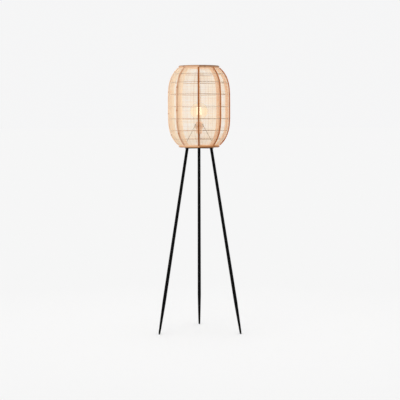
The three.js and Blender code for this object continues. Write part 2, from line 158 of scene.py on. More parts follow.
def ranged(tree, value, low, high, toLow, toHigh):
    return made(tree, "ShaderNodeMapRange", {0: value, 1: low, 2: high, 3: toLow, 4: toHigh})


# A value made to vary with a noise, by a depth and about the middle of the noise
def varied(tree, value, noise, depth, middle=0.5):
    return timesPlus(tree, minus(tree, noise, middle), depth, value)


# Materials: colours are written as they look on a screen, and the shaders get them as linear light

def tint(red, green, blue):
    parts = [channel / 255 for channel in (red, green, blue)]
    return tuple(p / 12.92 if p < 0.04 else ((p + 0.055) / 1.055) ** 2.4 for p in parts) + (1.0,)


# What a look gives under a socket's own name goes straight to the shader
def newMaterial(name, look):
    material = bpy.data.materials.new(name)
    material.use_nodes = True
    shader = material.node_tree.nodes["Principled BSDF"]
    for socket, value in look.items():
        if socket in shader.inputs:
            shader.inputs[socket].default_value = value
    return material, material.node_tree, shader


def attributeAt(tree, name, output="Fac"):
    return addNode(tree, "ShaderNodeAttribute", attribute_name=name).outputs[output]


def objectPlace(tree):
    return addNode(tree, "ShaderNodeTexCoord").outputs["Object"]


def rampOf(tree, factor, colours):
    node = addNode(tree, "ShaderNodeValToRGB", {0: factor})
    stops = node.color_ramp.elements
    while len(stops) < len(colours):
        stops.new(0.5)
    for i, colour in enumerate(colours):
        stops[i].position = i / (len(colours) - 1)
        stops[i].color = tint(*colour)
    return node.outputs[0]


def raised(tree, shader, height, depth, strength=1.0):
    bump = made(tree, "ShaderNodeBump", {"Height": height, "Distance": depth, "Strength": strength})
    tree.links.new(bump, shader.inputs["Normal"])


# The shade value runs through a look's colours, and the rough value through its roughness
def dressed(tree, shader, look, shade, rough, roughest=0.7):
    tree.links.new(rampOf(tree, shade, look["colours"]), shader.inputs["Base Color"])
    roughness = ranged(tree, rough, 0.3, roughest, *look["roughness"])
    tree.links.new(roughness, shader.inputs["Roughness"])


# Rattan of any kind: the pieces carry how dark they are, where their knots are, the length along
# the stem and the place on its section, and the fibres run along the stem
def rattan(name, look):
    material, tree, shader = newMaterial(name, look)
    section = attributeAt(tree, "section", "Vector")
    tone = attributeAt(tree, "tone")
    knot = attributeAt(tree, "knot")
    along = times(tree, attributeAt(tree, "along"), look["fibresAlong"])
    start = combined(tree, times(tree, tone, 90.0), 0.0, along)
    across = scaled(tree, section, look["fibresAcross"])
    fibre = noiseAt(tree, vectorCalc(tree, "ADD", across, start), 1.0, 4.0, 0.6)
    blotch = noiseAt(tree, objectPlace(tree), look["blotchScale"], 2.0)
    dark = varied(tree, tone, fibre, look["fibreDepth"])
    dark = varied(tree, dark, blotch, look["blotchDepth"])
    dark = timesPlus(tree, knot, look.get("knotDepth", 0.0), dark)
    # Painted light and shade: where a look asks for it, one side of the stem's section is painted darker
    # and the other paler
    dark = timesPlus(tree, parted(tree, section)[1], look.get("sideDepth", 0.0), dark)
    dressed(tree, shader, look, dark, fibre)
    raised(tree, shader, timesPlus(tree, knot, 0.6, fibre), look["relief"])
    return material


rattanLooks = {
    "darkRattan": {
        "colours": ((250, 222, 194), (188, 120, 74), (150, 86, 40)), "roughness": (0.42, 0.62),
        "Specular IOR Level": 0.05, "fibresAcross": 3.0, "fibresAlong": 45.0, "fibreDepth": 0.35,
        "blotchScale": 22.0, "blotchDepth": 0.4, "knotDepth": 0.3, "relief": 0.0002,
    },
    "rimRattan": {
        "colours": ((250, 214, 184), (216, 160, 108), (142, 82, 24)), "roughness": (0.4, 0.62),
        "Specular IOR Level": 0.3, "Coat Weight": 0.08, "Coat Roughness": 0.3,
        "fibresAcross": 5.0, "fibresAlong": 30.0, "fibreDepth": 0.35, "blotchScale": 16.0,
        "blotchDepth": 0.35, "knotDepth": 0.35, "relief": 0.0003, "sideDepth": 0.5,
    },
    "thinRattan": {
        "colours": ((206, 150, 104), (172, 110, 64), (120, 72, 38)), "roughness": (0.5, 0.7),
        "Specular IOR Level": 0.2, "fibresAcross": 2.0, "fibresAlong": 60.0, "fibreDepth": 0.4,
        "blotchScale": 30.0, "blotchDepth": 0.4, "knotDepth": 0.3, "relief": 0.0001,
    },
    "ribLath": {
        "colours": ((255, 240, 218), (250, 210, 172), (240, 172, 118)), "roughness": (0.55, 0.75),
        "Specular IOR Level": 0.3, "fibresAcross": 9.0, "fibresAlong": 12.0, "fibreDepth": 0.6,
        "blotchScale": 9.0, "blotchDepth": 0.4, "relief": 0.00015,
    },
    "wovenRattan": {
        "colours": ((255, 245, 222), (255, 233, 202), (220, 194, 163)), "roughness": (0.55, 0.8),
        "Specular IOR Level": 0.3, "fibresAcross": 2.0, "fibresAlong": 60.0, "fibreDepth": 0.5,
        "blotchScale": 14.0, "blotchDepth": 0.35, "relief": 0.00008,
    },
}
# Each rim carries painted light and shade across its section: it is painted darker on its outer edge and
# paler on the side towards the middle of the lampshade, and the top one is greyer where it is dark
rattanLooks["topRimRattan"] = {
    **rattanLooks["rimRattan"], "sideDepth": -rattanLooks["rimRattan"]["sideDepth"],
    "colours": ((250, 214, 184), (212, 162, 122), (136, 98, 68)),
}


# Painted steel: a fine peel in the paint, and on the legs scuffs that bare a greyer coat near the floor
def paintedSteel(name, look):
    material, tree, shader = newMaterial(name, look)
    place = objectPlace(tree)
    cloud = noiseAt(tree, place, 14.0, 3.0)
    worn = 0.0
    if "scuffs" in look:
        scuff = ranged(tree, noiseAt(tree, place, 160.0, 4.0, 0.7), 0.6, 0.72, 0.0, 1.0)
        low = ranged(tree, parted(tree, place)[2], 0.0, look["scuffHeight"], look["scuffs"], 0.0)
        worn = times(tree, scuff, low)
    dressed(tree, shader, look, varied(tree, worn, cloud, 0.5, 0.4), cloud)
    raised(tree, shader, noiseAt(tree, place, look["peelScale"], 2.0), look["peelDepth"], 0.6)
    return material


paintLooks = {
    "blackLeg": {
        "colours": ((4, 4, 4), (15, 14, 13)), "roughness": (0.42, 0.6), "Specular IOR Level": 0.06,
        "peelScale": 700.0, "peelDepth": 0.00004, "scuffHeight": 0.06, "scuffs": 0.6,
    },
    "blackSteel": {
        "colours": ((26, 20, 14), (62, 50, 38)), "roughness": (0.45, 0.65), "Specular IOR Level": 0.12,
        "peelScale": 1500.0, "peelDepth": 0.00015,
    },
    "brownWire": {
        "colours": ((122, 86, 50), (162, 120, 78)), "roughness": (0.45, 0.65), "Specular IOR Level": 0.04,
        "peelScale": 1500.0, "peelDepth": 0.0001,
    },
}


# Bare or plated metal, turned or drawn: fine lines round it at each height, and a faint tarnish
def plainMetal(name, look):
    material, tree, shader = newMaterial(name, {**look, "Metallic": 1.0})
    place = objectPlace(tree)
    level = combined(tree, 0.0, 0.0, parted(tree, place)[2])
    lines = noiseAt(tree, level, look["lineScale"], 3.0, 0.7)
    cloud = noiseAt(tree, place, look["cloudScale"], 4.0, 0.6)
    mixed = varied(tree, cloud, lines, 0.4)
    dressed(tree, shader, look, mixed, mixed, 0.8)
    raised(tree, shader, lines, look["lineDepth"], 0.5)
    return material


metalLooks = {
    "copperFinish": {
        "colours": ((230, 178, 144), (255, 216, 186), (255, 234, 212)), "roughness": (0.22, 0.42),
        "lineScale": 2500.0, "lineDepth": 0.00003, "cloudScale": 60.0,
    },
    # A darker copy of the copper finish: painted shade, for the shade rings and the spider's flat ring
    "darkCopper": {
        "colours": ((186, 138, 108), (230, 182, 150), (250, 212, 184)), "roughness": (0.3, 0.5),
        "lineScale": 2500.0, "lineDepth": 0.00003, "cloudScale": 60.0,
    },
    "brass": {
        "colours": ((150, 116, 58), (204, 168, 92), (228, 200, 130)), "roughness": (0.2, 0.4),
        "lineScale": 2500.0, "lineDepth": 0.00003, "cloudScale": 80.0,
    },
    "platedSteel": {
        "colours": ((120, 120, 118), (170, 170, 166), (204, 204, 198)), "roughness": (0.28, 0.5),
        "lineScale": 3000.0, "lineDepth": 0.00004, "cloudScale": 90.0,
    },
}


# A plain moulded or glazed stuff with cloudy shading and a fine grain
def mouldedStuff(name, look):
    material, tree, shader = newMaterial(name, look)
    place = objectPlace(tree)
    cloud = noiseAt(tree, place, look["cloudScale"], 3.0)
    dressed(tree, shader, look, cloud, cloud)
    raised(tree, shader, noiseAt(tree, place, look["grainScale"], 2.0), look["grainDepth"], 0.5)
    return material


stuffLooks = {
    "blackRubber": {
        "colours": ((18, 18, 18), (38, 37, 36)), "roughness": (0.7, 0.9), "Specular IOR Level": 0.3,
        "cloudScale": 120.0, "grainScale": 2200.0, "grainDepth": 0.0001,
    },
    "blackPlastic": {
        "colours": ((20, 20, 20), (34, 34, 34)), "roughness": (0.45, 0.6), "Specular IOR Level": 0.5,
        "cloudScale": 120.0, "grainScale": 3000.0, "grainDepth": 0.00006,
    },
    "porcelain": {
        "colours": ((232, 226, 214), (246, 243, 236)), "roughness": (0.2, 0.35), "Specular IOR Level": 0.5,
        "Coat Weight": 0.6, "Coat Roughness": 0.08,
        "cloudScale": 70.0, "grainScale": 500.0, "grainDepth": 0.00005,
    },
    "blackGlass": {
        "colours": ((14, 16, 20), (32, 34, 40)), "roughness": (0.06, 0.16), "Specular IOR Level": 0.6,
        "Coat Weight": 0.3, "Coat Roughness": 0.08,
        "cloudScale": 200.0, "grainScale": 300.0, "grainDepth": 0.00002,
    },
}


# Blown glass with an amber tint, deepest round the filaments, where it also carries a painted glow: faint
# waves, and a thin film of dust that dulls it here and there
def amberGlass():
    look = {
        "Transmission Weight": 1.0, "IOR": 1.015, "Coat Weight": 0.04, "Coat Roughness": 0.02,
        "Emission Color": tint(255, 206, 132), "glow": 0.036, "dust": 0.04,
        "colours": ((255, 254, 250), (255, 249, 234)), "wavesScale": 18.0, "wavesDepth": 0.0004,
    }
    material, tree, shader = newMaterial("amberGlass", look)
    place = objectPlace(tree)
    cloud = noiseAt(tree, place, 30.0, 2.0)
    radius = reachOf("bulb_glass")
    level = calc(tree, "ABSOLUTE", minus(tree, parted(tree, place)[2], headOf("bulb_glass") - radius))
    # Painted glow: round the filaments the glass itself gives off light, and its tint is deepest there
    depth = ranged(tree, level, radius * 0.3, radius * 0.95, 1.0, 0.0)
    tree.links.new(times(tree, depth, look["glow"]), shader.inputs["Emission Strength"])
    depth = times(tree, depth, ranged(tree, cloud, 0.3, 0.7, 0.8, 1.0))
    tree.links.new(rampOf(tree, depth, look["colours"]), shader.inputs["Base Color"])
    tree.links.new(ranged(tree, cloud, 0.4, 0.8, 0.0, look["dust"]), shader.inputs["Roughness"])
    raised(tree, shader, noiseAt(tree, place, look["wavesScale"], 1.0), look["wavesDepth"], 0.25)
    return material


# The glowing filaments, whose light is a little paler and deeper by turns
def filamentGlow():
    look = {
        "Base Color": tint(34, 26, 18), "Specular IOR Level": 0.0, "Emission Strength": 1.9,
        "glowColours": ((255, 234, 196), (255, 246, 222), (255, 250, 236)), "beadScale": 900.0,
    }
    material, tree, shader = newMaterial("filamentGlow", look)
    level = parted(tree, objectPlace(tree))[2]
    beads = noiseAt(tree, combined(tree, 0.0, 0.0, level), look["beadScale"], 2.0)
    tree.links.new(rampOf(tree, beads, look["glowColours"]), shader.inputs["Emission Color"])
    tree.links.new(ranged(tree, beads, 0.3, 0.7, 0.4, 0.7), shader.inputs["Roughness"])
    raised(tree, shader, beads, 0.0001, 0.5)
    material.cycles.emission_sampling = "NONE"  # the lamp inside the globe lights the shade
    return material


finishes = {}
for makeFinish, looks in (
    (rattan, rattanLooks), (paintedSteel, paintLooks), (plainMetal, metalLooks), (mouldedStuff, stuffLooks),
):
    for name, look in looks.items():
        finishes[name] = makeFinish(name, look)
finishes["amberGlass"] = amberGlass()
finishes["filamentGlow"] = filamentGlow()
print("materials done:", len(finishes))


# Making pieces

def newPiece(name, data, material=None):
    piece = bpy.data.objects.new(name, data)
    bpy.context.scene.collection.objects.link(piece)
    if material:
        data.materials.clear()
        data.materials.append(material)
    return piece


def smoothed(mesh, sharpAngle=35):
    mesh.shade_smooth()
    mesh.set_sharp_from_angle(angle=math.radians(sharpAngle))


def joined(name, pieces):
    with bpy.context.temp_override(active_object=pieces[0], selected_editable_objects=pieces):
        bpy.ops.object.join()
    pieces[0].name = name
    pieces[0].data.name = name
    return pieces[0]


def settle(piece, body, node):
    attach(piece, body)
    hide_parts(node)


# A node of the frame that stays gets its finish through its own slot
def dressNode(node, finish):
    kept = frame["nodes"][node].data.materials
    kept.clear()
    kept.append(finishes[finish])


# The mesh that an object's modifiers give. The object itself goes.
def applied(piece, name):
    depsgraph = bpy.context.evaluated_depsgraph_get()
    mesh = bpy.data.meshes.new_from_object(piece.evaluated_get(depsgraph))
    piece.modifiers.clear()
    bpy.data.objects.remove(piece)
    mesh.name = name
    return mesh


def meshFrom(name, bm):
    mesh = bpy.data.meshes.new(name)
    bm.to_mesh(mesh)
    bm.free()
    return mesh


# A closed body through rings of points, with its edges rounded
def bodyThrough(name, rings, edgeRound, sharpAngle, finish):
    bm = bmesh.new()
    rows = [[bm.verts.new(point) for point in ring] for ring in rings]
    for lower, upper in zip(rows, rows[1:]):
        for k in range(len(lower)):
            follows = (k + 1) % len(lower)
            bm.faces.new((lower[k], lower[follows], upper[follows], upper[k]))
    bm.faces.new(rows[0][::-1])
    bm.faces.new(rows[-1])
    if bm.calc_volume(signed=True) < 0:
        bmesh.ops.reverse_faces(bm, faces=bm.faces)
    piece = newPiece(name + "Plain", meshFrom(name + "Plain", bm), finishes[finish])
    bevel = piece.modifiers.new("Edges", "BEVEL")
    bevel.width = edgeRound
    bevel.segments = 2
    bevel.limit_method = "ANGLE"
    bevel.angle_limit = math.radians(sharpAngle)
    mesh = applied(piece, name)
    smoothed(mesh, 30)
    return mesh


def between(low, high, share):
    return low + (high - low) * share


def shares(steps):
    return [k / steps for k in range(steps + 1)]


# Points from start to end, on a curve that leaves and arrives in line with the corner
def bend(start, corner, end, steps):
    points = []
    for share in shares(steps):
        bent = start * (1 - share) ** 2 + corner * 2 * share * (1 - share) + end * share ** 2
        points.append((bent.x, bent.y))
    return points


# Points on a stretch of an oval, between two angles in degrees
def ovalPoints(x, y, across, up, start, end, steps):
    turns = [math.radians(between(start, end, share)) for share in shares(steps)]
    return [(x + across * math.cos(turn), y + up * math.sin(turn)) for turn in turns]


# Rounds the corners of an outline of [radius, height] points. Points on the axis stay.
def softened(points, size, steps=3):
    count = len(points)
    onAxis = points[0][0] == 0 and points[-1][0] == 0
    rounded = []
    for i, point in enumerate(points):
        if onAxis and i in (0, count - 1):
            rounded.append(point)
            continue
        corner = Vector(point)
        before = Vector(points[i - 1]) - corner
        after = Vector(points[(i + 1) % count]) - corner
        cut = min(size, before.length / 2.2, after.length / 2.2)
        start = corner + before.normalized() * cut
        end = corner + after.normalized() * cut
        rounded += bend(start, corner, end, steps)
    return rounded


# A piece turned about an upright axis. The outline ends on the axis or closes on itself.
# shapeAt may change a radius with the height and the angle, as for a hexagon or a thread.
def turnedMesh(name, outline, sides, place, shapeAt=None):
    bm = bmesh.new()
    uvLayer = bm.loops.layers.uv.new("UVMap")
    count = len(outline)
    closes = not (outline[0][0] == 0 and outline[-1][0] == 0)
    runs = [0.0]
    for i in range(count):
        runs.append(runs[-1] + math.dist(outline[i], outline[(i + 1) % count]))
    rings = []
    for radius, height in outline:
        if radius == 0:
            rings.append([bm.verts.new((0, 0, height))] * sides)
            continue
        ring = []
        for step in range(sides):
            angle = 2 * math.pi * step / sides
            out = shapeAt(radius, height, angle) if shapeAt else radius
            ring.append(bm.verts.new((out * math.cos(angle), out * math.sin(angle), height)))
        rings.append(ring)
    for i in range(count if closes else count - 1):
        lower = rings[i]
        upper = rings[(i + 1) % count]
        for step in range(sides):
            follows = (step + 1) % sides
            corners = [lower[step], lower[follows], upper[follows], upper[step]]
            spots = [(step, i), (step + 1, i), (step + 1, i + 1), (step, i + 1)]
            kept = [k for k in range(4) if corners[k] not in corners[:k]]
            if len(kept) < 3:
                continue
            face = bm.faces.new([corners[k] for k in kept])
            for loop, k in zip(face.loops, kept):
                loop[uvLayer].uv = (spots[k][0] / sides, runs[spots[k][1]])
    if bm.calc_volume(signed=True) < 0:
        bmesh.ops.reverse_faces(bm, faces=bm.faces)
    bmesh.ops.transform(bm, matrix=place, verts=bm.verts)
    mesh = meshFrom(name, bm)
    smoothed(mesh)
    return mesh


def turnedPiece(name, outline, finish, sides, place=None, shapeAt=None):
    mesh = turnedMesh(name, outline, sides, place or Matrix.Translation(lampAxis), shapeAt)
    return newPiece(name, mesh, finishes[finish])


# A turned piece that stands in for a node and carries its name: holder_cap gives holderCap
def turnedNode(node, outline, finish, sides, shapeAt=None, place=None, body="root"):
    words = node.split("_")
    name = words[0] + "".join(word.capitalize() for word in words[1:])
    settle(turnedPiece(name, outline, finish, sides, place, shapeAt), body, node)


# A tree is given its inputs by name here, and the modifier gets them by their identifiers
def newTree(name, inputs):
    tree = bpy.data.node_groups.new(name, "GeometryNodeTree")
    tree.interface.new_socket(name="Guide", in_out="INPUT", socket_type="NodeSocketGeometry")
    for label, kind in inputs.items():
        tree.interface.new_socket(name=label, in_out="INPUT", socket_type="NodeSocket" + kind)
    tree.interface.new_socket(name="Piece", in_out="OUTPUT", socket_type="NodeSocketGeometry")
    return tree, tree.nodes.new("NodeGroupInput").outputs


def closeTree(tree, geometry, material):
    real = made(tree, "GeometryNodeRealizeInstances", {0: geometry})
    painted = made(tree, "GeometryNodeSetMaterial", {"Geometry": real, "Material": material})
    addNode(tree, "NodeGroupOutput", {0: painted})


def stored(tree, geometry, name, value, kind="FLOAT"):
    inputs = {"Geometry": geometry, "Name": name, "Value": value}
    return made(tree, "GeometryNodeStoreNamedAttribute", inputs, data_type=kind, domain="POINT")


def randomAt(tree, low, high, index, seed):
    inputs = {2: low, 3: high, 7: index, 8: seed}
    return addNode(tree, "FunctionNodeRandomValue", inputs, data_type="FLOAT").outputs[1]


# A section swept along lines, scaled by their radius
def swept(tree, line, section):
    thickness = made(tree, "GeometryNodeInputRadius")
    inputs = {"Curve": line, "Profile Curve": section, "Scale": thickness, "Fill Caps": True}
    return made(tree, "GeometryNodeCurveToMesh", inputs)


# Runs a tree on guide lines and gives back a plain mesh object. Of the values, the tree takes those
# that carry the names of its inputs.
def grown(name, lines, tree, values, closes=False):
    points = []
    edges = []
    for line in lines:
        first = len(points)
        points += [tuple(point) for point in line]
        edges += [(first + i, first + i + 1) for i in range(len(line) - 1)]
        if closes:
            edges.append((len(points) - 1, first))
    guideMesh = bpy.data.meshes.new(name + "Guide")
    guideMesh.from_pydata(points, edges, [])
    guide = newPiece(name + "Guide", guideMesh)
    modifier = guide.modifiers.new("Grow", "NODES")
    modifier.node_group = tree
    for item in tree.interface.items_tree:
        if item.item_type == "SOCKET" and item.in_out == "INPUT" and item.name in values:
            modifier[item.identifier] = values[item.name]
    return newPiece(name, applied(guide, name))


# A stem swept along each guide line: it swells at its knots, wanders a little from the line and
# carries what the rattan materials read
def stemTree():
    tree, given = newTree("stemAlongPath", {
        "Radius": "Float", "Step": "Float", "Sides": "Int", "Knot Spacing": "Float",
        "Knot Swell": "Float", "Knot Width": "Float", "Uneven": "Float", "Wander": "Float",
        "Tone": "Float", "Tone Step": "Float", "Seed": "Int", "Material": "Material",
    })
    line = made(tree, "GeometryNodeMeshToCurve", {0: given["Guide"]})
    line = made(tree, "GeometryNodeResampleCurve", {"Curve": line, "Length": given["Step"]}, mode="LENGTH")
    length = addNode(tree, "GeometryNodeSplineParameter").outputs["Length"]
    place = made(tree, "GeometryNodeInputPosition")
    index = made(tree, "GeometryNodeInputIndex")
    branch = made(tree, "GeometryNodeFieldOnDomain", {0: index}, data_type="FLOAT", domain="CURVE")
    phase = randomAt(tree, 0.0, 1.0, branch, given["Seed"])
    share = calc(tree, "FRACT", plus(tree, over(tree, length, given["Knot Spacing"]), phase))
    away = times(tree, minus(tree, share, 0.5), given["Knot Spacing"])
    near = over(tree, away, given["Knot Width"])
    knot = calc(tree, "EXPONENT", times(tree, times(tree, near, near), -1.0))
    shift = combined(tree, times(tree, given["Seed"], 3.7), 0.0, 0.0)
    grain = addNode(tree, "ShaderNodeTexNoise", {
        "Vector": vectorCalc(tree, "ADD", place, shift), "Scale": 11.0, "Detail": 2.0,
    }).outputs
    swell = timesPlus(tree, knot, given["Knot Swell"], 1.0)
    uneven = times(tree, minus(tree, grain[0], 0.5), given["Uneven"])
    radius = times(tree, plus(tree, swell, uneven), given["Radius"])
    tone = timesPlus(tree, branch, given["Tone Step"], given["Tone"])
    for name, value in (("knot", knot), ("along", length), ("tone", tone)):
        line = stored(tree, line, name, value)
    line = made(tree, "GeometryNodeSetCurveRadius", {0: line, "Radius": radius})
    drift = vectorCalc(tree, "SUBTRACT", grain[1], (0.5, 0.5, 0.5))
    drift = scaled(tree, drift, given["Wander"])
    line = made(tree, "GeometryNodeSetPosition", {0: line, "Offset": drift})
    ring = made(tree, "GeometryNodeCurvePrimitiveCircle", {"Resolution": given["Sides"], "Radius": 1.0})
    stem = swept(tree, line, stored(tree, ring, "section", place, "FLOAT_VECTOR"))
    closeTree(tree, made(tree, "GeometryNodeSetShadeSmooth", {0: stem}), given["Material"])
    return tree


# A panel of plain weave: the warps stand side by side along the guide line, the wefts cross them,
# and both end under the ribs on either side
def weaveTree():
    tree, given = newTree("wovenPanel", {
        "Centre": "Vector", "Azimuth": "Float", "Half Angle": "Float", "Warps": "Int", "Wefts": "Int",
        "Pitch": "Float", "Strand Width": "Float", "Strand Thickness": "Float", "Depth": "Float",
        "Wander": "Float", "Tone": "Float", "Seed": "Int", "Material": "Material",
    })
    pitch, wander, seed = given["Pitch"], given["Wander"], given["Seed"]
    guide = made(tree, "GeometryNodeMeshToCurve", {0: given["Guide"]})
    lastWeft = minus(tree, given["Wefts"], 1.0)
    breadth = times(tree, pitch, minus(tree, given["Warps"], 1.0))
    grid = made(tree, "GeometryNodeMeshGrid", {
        "Size X": breadth, "Size Y": 1.0, "Vertices X": given["Warps"], "Vertices Y": given["Wefts"],
    })
    place = made(tree, "GeometryNodeInputPosition")
    flat = parted(tree, place)
    share = plus(tree, flat[1], 0.5)
    column = calc(tree, "ROUND", over(tree, timesPlus(tree, breadth, 0.5, flat[0]), pitch))
    row = calc(tree, "ROUND", times(tree, share, lastWeft))
    parity = calc(tree, "COSINE", times(tree, plus(tree, column, row), math.pi))

    def alongGuide(factor):
        inputs = {"Curves": guide, "Factor": factor}
        return addNode(tree, "GeometryNodeSampleCurve", inputs, mode="FACTOR").outputs

    # The grid is cut to the panel's own width, with one warp more on each side
    half = times(tree, parted(tree, alongGuide(share)["Position"])[0], given["Half Angle"])
    outside = calc(tree, "GREATER_THAN", calc(tree, "ABSOLUTE", flat[0]), plus(tree, half, pitch))
    grid = made(tree, "GeometryNodeDeleteGeometry", {0: grid, 1: outside}, domain="POINT")
    ends = addNode(tree, "GeometryNodeInputMeshEdgeVertices").outputs
    leap = minus(tree, parted(tree, ends[2])[0], parted(tree, ends[3])[0])
    isWeft = calc(tree, "GREATER_THAN", calc(tree, "ABSOLUTE", leap), times(tree, pitch, 0.5))
    isWarp = minus(tree, 1.0, isWeft)

    # The strands drift together in slow waves, and each slips a little by itself
    shift = times(tree, seed, 5.3)
    wavePlace = combined(tree, times(tree, flat[0], 60.0), times(tree, flat[1], 7.0), shift)
    drift = times(tree, minus(tree, noiseAt(tree, wavePlace, 1.0, 2.0), 0.5), wander)
    warpSlip = randomAt(tree, -0.5, 0.5, column, seed)
    weftSlip = randomAt(tree, -0.2, 0.2, row, seed)
    across = timesPlus(tree, warpSlip, wander, plus(tree, flat[0], drift))
    along = alongGuide(plus(tree, share, over(tree, weftSlip, lastWeft)))
    centreLine = parted(tree, along["Position"])
    tangent = parted(tree, along["Tangent"])
    halfHere = times(tree, centreLine[0], given["Half Angle"])
    across = calc(tree, "MINIMUM", across, halfHere)
    across = calc(tree, "MAXIMUM", across, times(tree, halfHere, -1.0))
    angle = plus(tree, given["Azimuth"], over(tree, across, centreLine[0]))
    cosine = calc(tree, "COSINE", angle)
    sine = calc(tree, "SINE", angle)

    def turnedOut(out, up):
        return combined(tree, times(tree, out, cosine), times(tree, out, sine), up)

    outward = turnedOut(tangent[2], times(tree, tangent[0], -1.0))
    spot = vectorCalc(tree, "ADD", turnedOut(centreLine[0], centreLine[2]), given["Centre"])
    strandBox = made(tree, "GeometryNodeCurvePrimitiveQuadrilateral", {
        "Width": given["Strand Thickness"], "Height": given["Strand Width"],
    })
    unit = scaled(tree, place, over(tree, 2.0, given["Strand Width"]))
    section = stored(tree, strandBox, "section", unit, "FLOAT_VECTOR")
    cloth = tree.nodes.new("GeometryNodeJoinGeometry")

    # Neighbouring strands come in paler and darker batches, and the warps differ more than the wefts
    middleTone = 0.12
    warpContrast = 0.46
    weftContrast = 0.15
    firstWeft = 1000  # so that the wefts' tones and widths aren't those of the warps
    for chosen, number, side, contrast in (
        (isWarp, column, 1.0, warpContrast),
        (isWeft, plus(tree, row, firstWeft), -1.0, weftContrast),
    ):
        batch = noiseAt(tree, combined(tree, times(tree, number, 0.5), shift, 0.0), 1.0, 1.0)
        batchTone = ranged(tree, batch, 0.35, 0.65, middleTone - contrast, middleTone + contrast)
        ownTone = calc(tree, "POWER", randomAt(tree, 0.0, 1.0, number, seed), 3.0)
        tone = timesPlus(tree, ownTone, 0.7, plus(tree, batchTone, given["Tone"]))
        line = made(tree, "GeometryNodeMeshToCurve", {0: grid, 1: chosen})
        line = stored(tree, line, "tone", tone)
        line = stored(tree, line, "along", addNode(tree, "GeometryNodeSplineParameter").outputs["Length"])
        line = made(tree, "GeometryNodeSetCurveNormal", {0: line, "Normal": outward}, mode="FREE")
        width = randomAt(tree, 0.85, 1.15, number, plus(tree, seed, 50))
        line = made(tree, "GeometryNodeSetCurveRadius", {0: line, "Radius": width})
        lift = times(tree, times(tree, parity, side), given["Depth"])
        lifted = vectorCalc(tree, "ADD", spot, scaled(tree, outward, lift))
        line = made(tree, "GeometryNodeSetPosition", {0: line, "Position": lifted})
        tree.links.new(swept(tree, line, section), cloth.inputs[0])
    closeTree(tree, cloth.outputs[0], given["Material"])
    return tree


stemAlongPath = stemTree()
wovenPanel = weaveTree()
# What a plain wire takes. The inputs that it leaves out stay at nought: no knots, bends or tone.
plainWire = {"Knot Spacing": 1.0, "Knot Width": 0.001}
print("node trees done")


# The barrel's outline, from the rims and the woven panels of the frame
shadeForm = {
    "barrelPower": 4.1, "caneThickness": 0.007, "skinDepth": 0.0073, "skinThickness": 0.0016,
    "hoopDepth": 0.0104, "hoopThickness": 0.0024, "lathDepth": 0.0094, "ribCount": 8, "outlineSteps": 140,
}
hoopNodes = [f"hoop_{i + 1}" for i in range(7)]
rimThickness = headOf("rim_top") - footOf("rim_top")
rimReach = reachOf("rim_top")
rimRadius = rimReach - rimThickness / 2
shadeMiddle = (headOf("rim_top") + footOf("rim_bottom")) / 2
rimHeight = middleOf("rim_top").z - shadeMiddle
shadeReach = reachOf("woven_panel_1") + shadeForm["skinDepth"]
ribStep = 2 * math.pi / shadeForm["ribCount"]
firstRib = azimuthOf("rib_cane_1")


def ribAzimuth(index):
    return firstRib + index * ribStep


# The outline's point at a height from the shade's middle, moved in by a depth square to it
def inside(height, depth):
    share = abs(height / rimHeight)
    power = shadeForm["barrelPower"]
    bulge = shadeReach - rimReach
    radius = rimReach + bulge * (1 - share ** power)
    slope = -bulge * power * share ** (power - 1) * math.copysign(1, height) / rimHeight
    normal = Vector((1, -slope)).normalized()
    return radius - depth * normal.x, height - depth * normal.y


# The greatest height, from the shade's middle up to the rim, for which a test still holds
def lastHeight(holds):
    low = 0.0
    high = rimHeight
    for _ in range(40):
        middle = (low + high) / 2
        if holds(middle):
            low = middle
        else:
            high = middle
    return low


# The height at which a line at a depth comes within a distance of the rim's own centre
def endNearRim(depth, distance):
    return lastHeight(lambda height: math.dist(inside(height, depth), (rimRadius, rimHeight)) > distance)


def outlinePath(depth, end):
    return [inside(between(-end, end, share), depth) for share in shares(shadeForm["outlineSteps"])]


# A level line round the lamp's axis, through a part of a turn
def arc(radius, height, start, length, steps):
    return [standing(radius, height, start + length * share) for share in shares(steps)]


# A ring in equal lengths, with a thin open joint where each begins
def ringLengths(radius, height, starts, joint, steps):
    openAngle = joint / radius
    length = 2 * math.pi / len(starts) - 2 * openAngle
    return [arc(radius, height, start + openAngle, length, steps) for start in starts]


def makePanels():
    weave = {
        "Pitch": 0.0042, "Strand Width": 0.00095, "Strand Thickness": 0.00028, "Depth": 0.00026,
        "Wander": 0.0007, "Centre": lampAxis, "Half Angle": ribStep / 2,
        "Material": finishes["wovenRattan"], "weftPitch": 0.0046, "intoRim": 0.0008, "firstSeed": 11,
    }
    # The panels at the sides are woven of finer strands and painted paler: painted light that brightens the
    # side panels, which are seen slantwise and lie more in shade
    fineness = (1, 0.95, 0.85, 1, 1, 0.85, 0.8, 1)
    tones = (0.2, 0.05, -0.3, 0, 0, -0.4, -0.6, 0.08)
    depth = shadeForm["skinDepth"] + shadeForm["skinThickness"] / 2
    path = outlinePath(depth, endNearRim(depth, rimThickness / 2 - weave["intoRim"]))
    guide = [(radius, 0, shadeMiddle + level) for radius, level in path]
    length = sum(math.dist(point, follows) for point, follows in zip(path, path[1:]))
    widest = max(radius for radius, level in path) * ribStep / 2
    weave["Warps"] = 2 * round(widest / weave["Pitch"]) + 3
    weave["Wefts"] = round(length / weave["weftPitch"]) + 1
    for i in range(shadeForm["ribCount"]):
        piece = grown(f"wovenPanel{i + 1}", [guide], wovenPanel, {
            **weave, "Azimuth": ribAzimuth(i) + ribStep / 2, "Tone": tones[i],
            "Strand Width": weave["Strand Width"] * fineness[i], "Seed": weave["firstSeed"] + i,
        })
        settle(piece, "root", f"woven_panel_{i + 1}")
    print("woven panels done")


